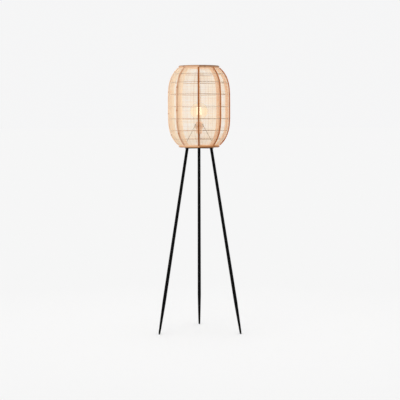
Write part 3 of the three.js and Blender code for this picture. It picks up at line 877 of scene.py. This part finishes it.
def makeCanes():
    cane = {
        "Step": 0.0025, "Sides": 14, "Knot Spacing": 0.118, "Knot Swell": 0.16, "Knot Width": 0.0028,
        "Uneven": 0.16, "Wander": 0.001, "Material": finishes["darkRattan"],
        "intoRim": 0.0012, "setIn": 0.0009, "fullness": 0.95, "frontFullness": 1.18, "firstSeed": 31,
    }
    tones = (0.92, 0.6, 0.5, 0.5, 0.7, 0.45, 0.05, 0.3)
    depth = shadeForm["caneThickness"] / 2
    end = endNearRim(depth, rimThickness / 2 + depth - cane["intoRim"])
    for i in range(shadeForm["ribCount"]):
        radius = depth * (cane["fullness"] if i else cane["frontFullness"])
        path = outlinePath(radius + cane["setIn"], end)
        guide = [standing(out, shadeMiddle + level, ribAzimuth(i)) for out, level in path]
        piece = grown(f"ribCane{i + 1}", [guide], stemAlongPath, {
            **cane, "Radius": radius, "Knot Spacing": cane["Knot Spacing"] * (1 + 0.06 * (i % 3)),
            "Tone": tones[i], "Seed": cane["firstSeed"] + i,
        })
        settle(piece, "root", f"rib_cane_{i + 1}")
    print("rib canes done")


# Each hoop's height is the middle of its node. Its two lengths meet behind the front and back ribs,
# and the one on the right is darker.
def makeHoops():
    hoop = {
        "Radius": shadeForm["hoopThickness"] / 2, "Step": 0.004, "Sides": 10, "Knot Spacing": 0.09,
        "Knot Swell": 0.15, "Knot Width": 0.002, "Uneven": 0.2, "Wander": 0.0005, "Tone Step": 0.55,
        "Material": finishes["thinRattan"], "joint": 0.0004, "points": 90, "firstSeed": 51,
    }
    backRib = ribAzimuth(shadeForm["ribCount"] // 2)
    starts = (backRib, backRib + math.pi)
    for i, node in enumerate(hoopNodes):
        radius = (reachOf(node) + boreOf(node)) / 2
        lines = ringLengths(radius, middleOf(node).z, starts, hoop["joint"], hoop["points"])
        piece = grown(f"hoop{i + 1}", lines, stemAlongPath, {
            **hoop, "Tone": 0.24 + 0.06 * (i % 4), "Seed": hoop["firstSeed"] + i,
        })
        settle(piece, "root", node)
    print("hoops done")


# Each rim is bent from three lengths of pole: one at the back and two that meet at the front
def makeRims():
    rim = {
        "Radius": rimThickness / 2 * 0.945, "Step": 0.004, "Sides": 24, "Knot Spacing": 0.19,
        "Knot Swell": 0.05, "Knot Width": 0.004, "Uneven": 0.04, "Wander": 0.0006,
        "joint": 0.0003, "points": 120,
    }
    starts = (math.pi / 6, 5 * math.pi / 6, -math.pi / 2)
    for name, node, finish, tone, toneStep, seed in (
        ("rimTop", "rim_top", "topRimRattan", 0.08, 0.38, 71),
        ("rimBottom", "rim_bottom", "rimRattan", 0.02, 0.37, 72),
    ):
        lines = ringLengths(rimRadius, middleOf(node).z, starts, rim["joint"], rim["points"])
        piece = grown(name, lines, stemAlongPath, {
            **rim, "Tone": tone, "Tone Step": toneStep, "Seed": seed, "Material": finishes[finish],
        })
        settle(piece, "root", node)
    print("rims done")


# A lath on edge behind each rib, notched where the hoops pass
def makeLaths():
    lath = {
        "thickness": 0.005, "width": 0.026, "steps": 46, "notchHalf": 0.0015, "notchSlope": 0.00001,
        "clearOfNotch": 0.0045, "edgeRound": 0.0006, "fibreUnit": 0.02,
    }
    tones = (0.5, 0.8, 1, 0.3, 0.4, 0.05, 0.34, 0.28)
    # How much darker the outer edge of each is than its middle
    edgeTones = (0, 0, 0.35, 0, 0, 0, 0.4, 0)
    # The lath on the right is narrower than the others, as the photograph shows
    widths = (1, 1, 0.72, 1, 1, 1, 1, 1)
    depth = shadeForm["lathDepth"]
    notchDepth = shadeForm["hoopDepth"] + lath["notchHalf"]
    top = headOf("rib_lath_1") - shadeMiddle
    end = lastHeight(lambda height: inside(height, depth)[1] < top)

    # The heights on the outline at which the hoops lie
    trials = [end * k / 400 for k in range(-400, 401)]
    hoops = []
    for node in hoopNodes:
        level = middleOf(node).z - shadeMiddle
        hoops.append(min(trials, key=lambda height: abs(inside(height, shadeForm["hoopDepth"])[1] - level)))
    stations = []
    for share in shares(lath["steps"]):
        height = between(-end, end, share)
        if min(abs(height - hoop) for hoop in hoops) > lath["clearOfNotch"]:
            stations.append((height, depth))
    for hoop in hoops:
        for side in (-1, 1):
            wall = hoop + side * lath["notchHalf"]
            stations += [(wall + side * lath["notchSlope"], depth), (wall, notchDepth)]
    stations.sort()

    for i in range(shadeForm["ribCount"]):
        width = lath["width"] * widths[i]
        half = lath["thickness"] / 2
        rings = []
        for height, at in stations:
            outer, outerLevel = inside(height, at)
            inner, innerLevel = inside(height, depth)
            inner -= width
            rings.append([
                (outer, -half, outerLevel), (outer, half, outerLevel),
                (inner, half, innerLevel), (inner, -half, innerLevel),
            ])
        mesh = bodyThrough(f"ribLath{i + 1}", rings, lath["edgeRound"], 50, "ribLath")
        along = mesh.attributes.new("along", "FLOAT", "POINT")
        tone = mesh.attributes.new("tone", "FLOAT", "POINT")
        section = mesh.attributes.new("section", "FLOAT_VECTOR", "POINT")
        for k, vertex in enumerate(mesh.vertices):
            x, y, z = vertex.co
            share = (inside(z, depth)[0] - x) / width
            along.data[k].value = z
            tone.data[k].value = tones[i] + edgeTones[i] * (1 - 2 * share)
            section.data[k].vector = (x / lath["fibreUnit"], y / lath["fibreUnit"], i)
        place = Matrix.Translation(lampAxis + Vector((0, 0, shadeMiddle)))
        mesh.transform(place @ Matrix.Rotation(ribAzimuth(i), 4, "Z"))
        settle(newPiece(f"ribLath{i + 1}", mesh), "root", f"rib_lath_{i + 1}")
    print("laths done")


makePanels()
makeCanes()
makeHoops()
makeRims()
makeLaths()


# Legs: each is turned about the line from its foot on the floor to its stud in the hub

def legPlace(index):
    foot = Vector(frame["record"]["mounts"][index]["pos_m"])
    direction = (middleOf(f"leg_stud_{index + 1}") - foot).normalized()
    turn = Vector((0, 0, 1)).rotation_difference(direction).to_matrix().to_4x4()
    return foot, direction, Matrix.Translation(foot) @ turn


# The rings of corners of a node: how far along the leg each lies, and how far out
def ringsOf(node, foot, direction):
    rings = {}
    for corner in cornersOf(node):
        along = (corner - foot).dot(direction)
        away = (corner - foot - direction * along).length
        key = round(along, 4)
        rings[key] = max(rings.get(key, 0.0), away)
    return sorted(rings.items())


# The legs are a little fuller than their solids, as the photograph shows them
legFullness = 0.0013


def makeLegs():
    leg = {"sides": 48, "steps": 12, "stepsAbove": 6, "tipFullness": legFullness * 0.75, "swell": 0.85}
    for i in range(3):
        foot, direction, place = legPlace(i)
        rings = ringsOf(f"leg_{i + 1}", foot, direction)
        bottom, tipRadius = rings[0]
        wideAt, wideRadius = max(rings, key=lambda ring: ring[1])
        top, topRadius = rings[-1]
        tipRadius += leg["tipFullness"]
        wideRadius += legFullness
        topRadius += legFullness
        outline = [(0, bottom)]
        for share in shares(leg["steps"]):
            radius = between(tipRadius, wideRadius, share ** leg["swell"])
            outline.append((radius, between(bottom, wideAt, share)))
        for share in shares(leg["stepsAbove"])[1:]:
            outline.append((between(wideRadius, topRadius, share), between(wideAt, top, share)))
        outline.append((0, top))
        turnedNode(f"leg_{i + 1}", outline, "blackLeg", leg["sides"], None, place)
        makeFootTip(i, foot, direction, place)
        dressNode(f"leg_stud_{i + 1}", "platedSteel")
    print("legs done")


# The rubber tip is turned about the leg's own line and cut flat where it stands on the floor
def makeFootTip(i, foot, direction, place):
    tip = {"height": 0.005, "round": 0.0008, "slack": 0.00003, "sides": 32}
    radius = max(away for along, away in ringsOf(f"foot_tip_{i + 1}", foot, direction)) - tip["slack"]
    high = tip["height"]
    outline = softened([(0, -radius), (radius, -radius), (radius, high), (0, high)], tip["round"])
    bm = bmesh.new()
    bm.from_mesh(turnedMesh(f"footTip{i + 1}Whole", outline, tip["sides"], place))
    parts = bm.verts[:] + bm.edges[:] + bm.faces[:]
    cut = bmesh.ops.bisect_plane(bm, geom=parts, plane_co=(0, 0, 0), plane_no=(0, 0, 1), clear_inner=True)
    edges = [item for item in cut["geom_cut"] if isinstance(item, bmesh.types.BMEdge)]
    bmesh.ops.edgeloop_fill(bm, edges=edges)
    bmesh.ops.recalc_face_normals(bm, faces=bm.faces)
    mesh = meshFrom(f"footTip{i + 1}", bm)
    smoothed(mesh)
    piece = newPiece(f"footTip{i + 1}", mesh, finishes["blackRubber"])
    settle(piece, "root", f"foot_tip_{i + 1}")


makeLegs()


# Hub: a three-armed plate with rounded arms, and a leaning socket for each leg, welded on
def makeHub():
    hub = {
        "plate": 0.004, "edge": 0.0005, "disc": 0.022, "armHalf": 0.011, "armBeyond": 0.003,
        "corner": 0.005, "seatGap": 0.0003, "socket": 0.016, "socketRound": 0.0007,
        "weld": 0.0016, "weldSunk": 0.0002, "weldRound": 0.0006, "sides": 40,
    }
    bottom = footOf("leg_hub")
    top = bottom + hub["plate"]
    pieces = []
    for i in range(3):
        foot, direction, place = legPlace(i)
        low, radius = ringsOf(f"leg_{i + 1}", foot, direction)[-1]
        low += hub["seatGap"]
        high = low + hub["socket"]
        radius += legFullness
        socket = softened([(0, low), (radius, low), (radius, high), (0, high)], hub["socketRound"])
        pieces.append(turnedPiece(f"socket{i}", socket, "blackSteel", hub["sides"], place))
        crossing = foot + direction * ((top - foot.z) / direction.z)
        bead = softened([
            (radius * 0.9, -hub["weldSunk"]), (radius + hub["weld"], -hub["weldSunk"]),
            (radius, hub["weld"]), (radius * 0.9, hub["weld"]),
        ], hub["weldRound"])
        place = Matrix.Translation(crossing)
        pieces.append(turnedPiece(f"weld{i}", bead, "blackSteel", hub["sides"], place))
    corner = hub["corner"]
    out = (crossing - lampAxis).xy.length + radius + hub["armBeyond"] - corner
    side = hub["armHalf"] - corner
    arm = ovalPoints(0, 0, hub["disc"], hub["disc"], -90, -30, 5)
    arm += ovalPoints(out, -side, corner, corner, -90, 0, 4)
    arm += ovalPoints(out, side, corner, corner, 0, 90, 4)
    rings = []
    for level in (bottom, top):
        ring = []
        for i in range(3):
            turn = Matrix.Rotation(azimuthOf("leg_1") + i * 2 * math.pi / 3, 3, "Z")
            ring += [lampAxis + turn @ Vector((x, y, level)) for x, y in arm]
        rings.append(ring)
    plate = bodyThrough("legHub", rings, hub["edge"], 60, "blackSteel")
    settle(joined("legHub", [newPiece("legHub", plate)] + pieces), "root", "leg_hub")
    print("hub done")


# A coarse thread: the radius rises and falls once in a pitch, and the crest climbs as it turns
def threadShape(pitch, depth, low, high, outerFrom):
    def shapeAt(radius, height, angle):
        if radius < outerFrom or height < low or height > high:
            return radius
        turn = height / pitch - angle / (2 * math.pi)
        return radius - depth / 2 + depth / 2 * math.cos(2 * math.pi * turn)
    return shapeAt


# The rows of an outline up a straight wall, close enough together to carry a thread
def wallRows(radius, low, high, spacing):
    return [(radius, between(low, high, share)) for share in shares(max(1, round((high - low) / spacing)))]


# Stem: a threaded tube with two hexagon nuts, and a flanged bush for the lead at its foot
def makeStem():
    stem = {"pitch": 0.001, "thread": 0.0005, "bore": 0.0035, "nutSlack": 0.0002, "nutRows": 8}
    low, high = levelsOf("stem_tube")
    radius = reachOf("stem_tube")
    outline = wallRows(radius, low, high, stem["pitch"] / 4) + [(stem["bore"], high), (stem["bore"], low)]
    shape = threadShape(stem["pitch"], stem["thread"], low, high, radius * 0.9)
    turnedNode("stem_tube", outline, "platedSteel", 24, shape)
    for node in ("stem_nut_lower", "stem_nut_upper"):
        low, high = levelsOf(node)
        corner = reachOf(node)
        flat = corner * math.cos(math.pi / 6)
        bore = radius + stem["nutSlack"]

        def hexagon(out, height, angle):
            if out < corner * 0.7:
                return out
            turn = (angle + math.pi / 6) % (math.pi / 3) - math.pi / 6
            nearEnd = min(height - low, high - height)
            return min(flat / math.cos(turn), flat * 1.02 + nearEnd * 1.7)

        outline = [(bore, low), (corner * 0.8, low)]
        outline += wallRows(corner, low, high, (high - low) / stem["nutRows"])
        outline += [(corner * 0.8, high), (bore, high)]
        turnedNode(node, outline, "platedSteel", 72, hexagon)
    gland = {"bore": 0.0023, "neck": 0.0032, "flange": 0.002, "round": 0.0004}
    low, high = levelsOf("cord_gland")
    reach = reachOf("cord_gland")
    lip = low + gland["flange"]
    outline = softened([
        (gland["bore"], low), (reach, low), (reach, lip), (gland["neck"], lip), (gland["neck"], high),
        (gland["bore"], high),
    ], gland["round"])
    turnedNode("cord_gland", outline, "blackPlastic", 40)
    print("stem done")


makeHub()
makeStem()


# Lampholder: a drawn metal cap with a groove round it, and a threaded body
def makeHolder():
    cap = {
        "wall": 0.002, "groove": 0.0004, "grooveFoot": 0.006, "grooveHead": 0.0035, "grooveSlope": 0.0005,
        "shoulder": 0.008, "domeRise": 0.01, "domeFoot": 0.002, "neck": 0.0095, "neckEdge": 0.001,
        "boreEdge": 0.0006, "footWall": 0.003, "innerShoulder": 0.0035, "sides": 72,
    }
    low, high = levelsOf("holder_cap")
    radius = reachOf("holder_cap")
    bore = boreOf("holder_cap")
    shoulder = low + cap["shoulder"]
    outline = [(bore, low + cap["boreEdge"]), (cap["neck"] - cap["neckEdge"], low)]
    outline += ovalPoints(
        cap["neck"], shoulder + cap["domeFoot"], radius - cap["neck"], cap["domeRise"], -90, 0, 10,
    )
    grooveFoot = high - cap["grooveFoot"]
    grooveHead = high - cap["grooveHead"]
    outline += [
        (radius, grooveFoot), (radius - cap["groove"], grooveFoot + cap["grooveSlope"]),
        (radius - cap["groove"], grooveHead - cap["grooveSlope"]), (radius, grooveHead), (radius, high),
        (radius - cap["wall"], high), (radius - cap["wall"], shoulder + cap["innerShoulder"]),
        (cap["neck"] + cap["neckEdge"], low + cap["footWall"]), (bore, low + cap["footWall"]),
    ]
    turnedNode("holder_cap", outline, "copperFinish", cap["sides"])

    body = {
        "pitch": 0.002, "thread": 0.0006, "threadFoot": 0.004, "threadHead": 0.002, "edge": 0.0005,
        "lip": 0.0006, "wallFoot": 0.002, "wallHead": 0.001, "rowSpacing": 0.0005, "sides": 72,
    }
    low, high = levelsOf("holder_body")
    radius = reachOf("holder_body")
    bore = boreOf("holder_body")
    outline = [(bore, low), (radius - body["edge"], low), (radius, low + body["edge"])]
    outline += wallRows(radius, low + body["wallFoot"], high - body["wallHead"], body["rowSpacing"])
    outline += [(radius - body["lip"], high), (bore + body["lip"], high), (bore, high - body["lip"])]
    threadFoot = low + body["threadFoot"]
    threadHead = high - body["threadHead"]
    shape = threadShape(body["pitch"], body["thread"], threadFoot, threadHead, radius * 0.98)
    turnedNode("holder_body", outline, "copperFinish", body["sides"], shape)
    dressNode("holder_contact_block", "porcelain")
    dressNode("holder_thread_shell", "brass")
    dressNode("holder_centre_contact", "brass")
    print("lampholder done")


# A shade ring has a flat lip against the spider and a cone with milled finger ribs
def makeShadeRings():
    ring = {
        "ribs": 36, "ribDepth": 0.0004, "edge": 0.0004, "lip": 0.0015, "lipEdge": 0.0003, "collar": 0.002,
        "coneFoot": 0.0008, "coneHead": 0.0006, "coneSteps": 8, "headEdge": 0.0005,
        "milledFrom": 0.0022, "boreMargin": 0.0003, "sides": 144,
    }
    edge = ring["edge"]
    for node, up in (("shade_ring_upper", 1), ("shade_ring_lower", -1)):
        foot, head = levelsOf(node) if up > 0 else reversed(levelsOf(node))
        reach = reachOf(node)
        bore = boreOf(node)
        collar = bore + ring["collar"]

        def milled(out, height, angle):
            onCone = (height - foot) * up > ring["milledFrom"] and out > collar - ring["boreMargin"]
            return out - ring["ribDepth"] * (0.5 + 0.5 * math.cos(angle * ring["ribs"])) if onCone else out

        lip = foot + up * ring["lip"]
        outline = [
            (bore, foot), (reach - edge, foot), (reach, foot + up * edge),
            (reach, lip - up * ring["lipEdge"]), (reach - edge, lip),
        ]
        for share in shares(ring["coneSteps"])[1:-1]:
            radius = between(reach - ring["coneFoot"], collar + ring["coneHead"], share)
            outline.append((radius, between(lip, head, share)))
        outline += [(collar, head - up * edge), (collar - ring["headEdge"], head), (bore, head)]
        # The rings take the darker copper, whose darkness is painted shade
        turnedNode(node, outline, "darkCopper", ring["sides"], milled)
    print("shade rings done")


# Spider: a flat ring between the shade rings, three wires that each start in a short clip, and a
# ring inside the bottom rim
def makeSpider():
    spider = {
        "wire": 0.003, "ringWire": 0.004, "hook": 0.0036, "hookLean": 0.007, "hookHeight": 0.011,
        "fitterReach": 0.029, "fitterSlope": 0.004, "fitterEdge": 0.0004, "seatGap": 0.0003,
        "wireDrop": 0.0005, "firstWire": 91.5,
    }
    wire = {**plainWire, "Step": 0.004, "Sides": 14, "Material": finishes["brownWire"]}
    ringHeight = middleOf("rim_bottom").z
    ringRadius = reachOf("shade_spider") - spider["ringWire"] / 2
    low = headOf("shade_ring_lower") + spider["seatGap"]
    high = footOf("shade_ring_upper") - spider["seatGap"]
    middle = (high + low) / 2
    bore = boreOf("shade_spider")
    reach = spider["fitterReach"]
    flat = reach - spider["fitterSlope"]
    edge = spider["fitterEdge"]
    # The flat ring takes the darker copper too, with its painted shade
    fitter = turnedPiece("spiderFitter", [
        (bore, low), (flat, low), (reach, middle - edge), (reach, middle + edge), (flat, high),
        (bore, high),
    ], "darkCopper", 72)
    lines = []
    hooks = []
    for i in range(3):
        azimuth = math.radians(spider["firstWire"] + 120 * i)
        start = standing(reach - spider["hookLean"], high + spider["hookHeight"], azimuth)
        bent = standing(reach - spider["wire"] / 2, middle - spider["wireDrop"], azimuth)
        end = standing(ringRadius, ringHeight, azimuth)
        hooks.append([start, bent])
        lines.append([bent, bent.lerp(end, 0.5), end])
    wires = grown("spiderWires", lines, stemAlongPath, {**wire, "Radius": spider["wire"] / 2})
    clips = grown("spiderClips", hooks, stemAlongPath, {
        **wire, "Radius": spider["hook"] / 2, "Material": finishes["blackSteel"],
    })
    circle = arc(ringRadius, ringHeight, 0, 2 * math.pi, 120)[:-1]
    ring = grown("spiderRing", [circle], stemAlongPath, {
        **wire, "Radius": spider["ringWire"] / 2,
    }, closes=True)
    settle(joined("shadeSpider", [fitter, wires, clips, ring]), "root", "shade_spider")
    print("spider done")


makeHolder()
makeShadeRings()
makeSpider()


# Bulb: a clear amber globe with its cage of filaments, on a screw cap
def makeBulb():
    glass = {
        "wall": 0.0009, "neck": 0.0113, "neckHead": 0.002, "neckStep": 0.0006, "neckStepHeight": 0.0008,
        "flare": 0.0144, "flareHeight": 0.005, "flareSteps": 8, "meetAngle": -58, "crownSteps": 26,
        "sides": 96,
    }
    glassFoot, glassHead = levelsOf("bulb_glass")
    low, high = levelsOf("bulb_cap")
    globe = reachOf("bulb_glass")
    centre = glassHead - globe

    # The neck, the flare that runs into the globe, and the globe up to its crown
    def glassLine(wall, foot):
        neck = glass["neck"] - wall
        radius = globe - wall
        start = Vector((glass["flare"] - wall, high + glass["flareHeight"]))
        crown = ovalPoints(0, centre, radius, radius, glass["meetAngle"], 90, glass["crownSteps"])
        meetPoint = Vector(crown[0])
        pull = Vector((start.x, start.y + (meetPoint.y - start.y) / 2))
        points = [(neck, foot), (neck, high - glass["neckHead"])]
        points.append((neck + glass["neckStep"], high + glass["neckStepHeight"]))
        points += bend(start, pull, meetPoint, glass["flareSteps"]) + crown[1:-1]
        return points + [(0, crown[-1][1])]

    inner = glassLine(glass["wall"], glassFoot + glass["wall"])
    outline = inner[::-1] + glassLine(0.0, glassFoot)
    turnedNode("bulb_glass", outline, "amberGlass", glass["sides"], body="bulb")

    cap = {
        "pitch": 0.003629, "thread": 0.0009, "threadFoot": 0.0012, "turns": 6, "root": 0.0007,
        "wall": 0.0008, "bore": 0.0095, "footIn": 0.0014, "footEdge": 0.0006, "runOut": 0.0008,
        "headDrop": 0.0005, "headEdge": 0.0004, "innerFoot": 0.001, "sides": 72,
    }
    reach = reachOf("bulb_cap")
    root = reach - cap["root"]
    bore = root - cap["wall"]
    threadFoot = low + cap["threadFoot"]
    threadHead = low + cap["turns"] * cap["pitch"]
    outline = [(cap["bore"], low), (reach - cap["footIn"], low)]
    outline.append((reach - cap["footEdge"], low + cap["footEdge"]))
    outline += wallRows(reach, threadFoot, threadHead, cap["pitch"] / 10)
    outline += [
        (root, threadHead + cap["runOut"]), (root, high - cap["headDrop"]), (root - cap["headEdge"], high),
        (bore, high), (bore, low + cap["innerFoot"]), (cap["bore"], low + cap["wall"]),
    ]
    shape = threadShape(cap["pitch"], cap["thread"], threadFoot, threadHead, reach * 0.985)
    turnedNode("bulb_cap", outline, "brass", cap["sides"], shape, body="bulb")

    for node, body, finish, slot, footRadius, headRadius, rounding in (
        ("bulb_insulator", "bulb", "blackGlass", "black_glass", 0.0048, 0.0094, 0.0006),
        ("bulb_contact", "bulb_lift", "platedSteel", "plated_steel", 0.0036, 0.0047, 0.0005),
    ):
        low, high = levelsOf(node)
        outline = softened([(0, low), (footRadius, low), (headRadius, high), (0, high)], rounding)
        turnedNode(node, outline, finish, 48, body=body)
    print("bulb done")


# Filaments: upright rods between two wire stars on a glass post
def makeFilament():
    cage = {
        "count": 6, "radius": 0.013, "headShare": 0.8, "height": 0.05, "firstRod": 0.2, "rod": 0.0014,
        "wire": 0.0004, "rodInset": 0.003, "starInset": 0.001, "starHub": 0.0008,
    }
    stand = {
        "foot": 0.0098, "footThickness": 0.001, "slopeTop": 0.008, "radius": 0.0034, "neck": 0.0016,
        "neckLength": 0.003, "tip": 0.001, "tipDrop": 0.001, "crownDrop": 0.0005, "round": 0.001,
    }
    low, high = levelsOf("bulb_filament")
    bottom = high - cage["height"]
    post = turnedPiece("filamentPost", softened([
        (0, low), (stand["foot"], low), (stand["foot"], low + stand["footThickness"]),
        (stand["radius"], low + stand["slopeTop"]), (stand["radius"], bottom - stand["neckLength"]),
        (stand["neck"], bottom), (stand["tip"], bottom + stand["neckLength"]),
        (stand["tip"], high - stand["tipDrop"]), (0, high - stand["crownDrop"]),
    ], stand["round"]), "amberGlass", 32)
    rods = []
    spokes = []
    for i in range(cage["count"]):
        azimuth = 2 * math.pi * i / cage["count"] + cage["firstRod"]
        foot = standing(cage["radius"], bottom + cage["rodInset"], azimuth)
        head = standing(cage["radius"] * cage["headShare"], high - cage["rodInset"], azimuth)
        rods.append([foot, foot.lerp(head, 0.5), head])
        for end, level in ((foot, bottom + cage["starInset"]), (head, high - cage["starInset"])):
            start = standing(cage["starHub"], level, azimuth)
            spokes.append([start, start.lerp(end, 0.6), end])
    wire = {
        **plainWire, "Step": 0.002, "Sides": 10, "Radius": cage["wire"],
        "Material": finishes["platedSteel"],
    }
    lit = grown("filamentRods", rods, stemAlongPath, {
        **wire, "Radius": cage["rod"], "Material": finishes["filamentGlow"],
    })
    wires = grown("filamentWires", spokes, stemAlongPath, wire)
    settle(joined("bulbFilament", [lit, wires, post]), "bulb", "bulb_filament")
    print("filament done")


makeBulb()
makeFilament()


# Surroundings: a pale floor with painted light near the lamp, an even sky, one soft sun, and the bulb's own
# light
surroundings = {
    "back": 0.917, "floor": 0.832, "nearFloorPaintedLight": 0.866, "near": 0.2, "far": 2.2, "floorSize": 2000,
    "sky": 1.06, "sun": 0.2, "sunSpread": 40, "sunTurn": (40, 0, -30),
    "bulbPower": 0.3, "bulbColour": (1.0, 0.78, 0.5), "bulbBeyondGlass": 0.001,
}


def makeSurroundings():
    world = bpy.data.worlds.new("studio")
    world.use_nodes = True
    tree = world.node_tree
    tree.nodes.clear()
    rays = addNode(tree, "ShaderNodeLightPath").outputs
    seen = calc(tree, "MAXIMUM", rays["Is Camera Ray"], rays["Is Glossy Ray"])
    seen = calc(tree, "MAXIMUM", seen, rays["Is Transmission Ray"])
    level = surroundings["back"]
    light = made(tree, "ShaderNodeBackground", {"Color": (1, 1, 1, 1), "Strength": surroundings["sky"]})
    back = made(tree, "ShaderNodeBackground", {"Color": (level, level, level * 1.004, 1), "Strength": 1.0})
    mixed = made(tree, "ShaderNodeMixShader", {0: seen, 1: light, 2: back})
    addNode(tree, "ShaderNodeOutputWorld", {0: mixed})
    bpy.context.scene.world = world

    half = surroundings["floorSize"] / 2
    mesh = bpy.data.meshes.new("floor")
    corners = [(-half, -half, 0), (half, -half, 0), (half, half, 0), (-half, half, 0)]
    mesh.from_pydata(corners, [], [(0, 1, 2, 3)])
    material, tree, shader = newMaterial("floorPaper", {"Specular IOR Level": 0.0, "Roughness": 1.0})
    away = vectorCalc(tree, "MULTIPLY", objectPlace(tree), (1, 1, 0))
    away = addNode(tree, "ShaderNodeVectorMath", {0: away}, operation="LENGTH").outputs["Value"]
    near, far = surroundings["near"], surroundings["far"]
    # Painted light: the floor is painted paler near the lamp, offsetting the lamp's own shadow on it
    level = ranged(tree, away, near, far, surroundings["nearFloorPaintedLight"], surroundings["floor"])
    tree.links.new(combined(tree, level, level, level), shader.inputs["Base Color"])
    newPiece("floor", mesh, material)

    sun = bpy.data.lights.new("sun", "SUN")
    sun.energy = surroundings["sun"]
    sun.angle = math.radians(surroundings["sunSpread"])
    newPiece("sun", sun).rotation_euler = [math.radians(turn) for turn in surroundings["sunTurn"]]

    globe = reachOf("bulb_glass")
    glow = bpy.data.lights.new("bulbLight", "POINT")
    glow.energy = surroundings["bulbPower"]
    glow.color = surroundings["bulbColour"]
    glow.use_soft_falloff = False
    glow.shadow_soft_size = globe + surroundings["bulbBeyondGlass"]
    lamp = newPiece("bulbLight", glow)
    lamp.location = (lampAxis.x, lampAxis.y, headOf("bulb_glass") - globe)
    lamp.visible_camera = False
    lamp.visible_glossy = False
    lamp.visible_transmission = False
    print("surroundings done")


# The camera stands far off, a little to the left and above the middle of the lamp, and is turned
# back towards it and slightly down
def makeCamera():
    view = {
        "distance": 7.43, "height": 1.1255, "sideways": -0.07, "lens": 121.6,
        "tilt": 3.09, "roll": 0.2, "turn": -0.578,
    }
    data = bpy.data.cameras.new("camera")
    data.lens = view["lens"]
    data.sensor_width = 36
    data.clip_end = 3000
    camera = newPiece("camera", data)
    camera.location = (lampAxis.x + view["sideways"], lampAxis.y - view["distance"], view["height"])
    camera.rotation_euler = [math.radians(turn) for turn in (90 - view["tilt"], view["roll"], view["turn"])]
    bpy.context.scene.camera = camera


makeSurroundings()
makeCamera()
bpy.context.scene.view_settings.view_transform = "Standard"
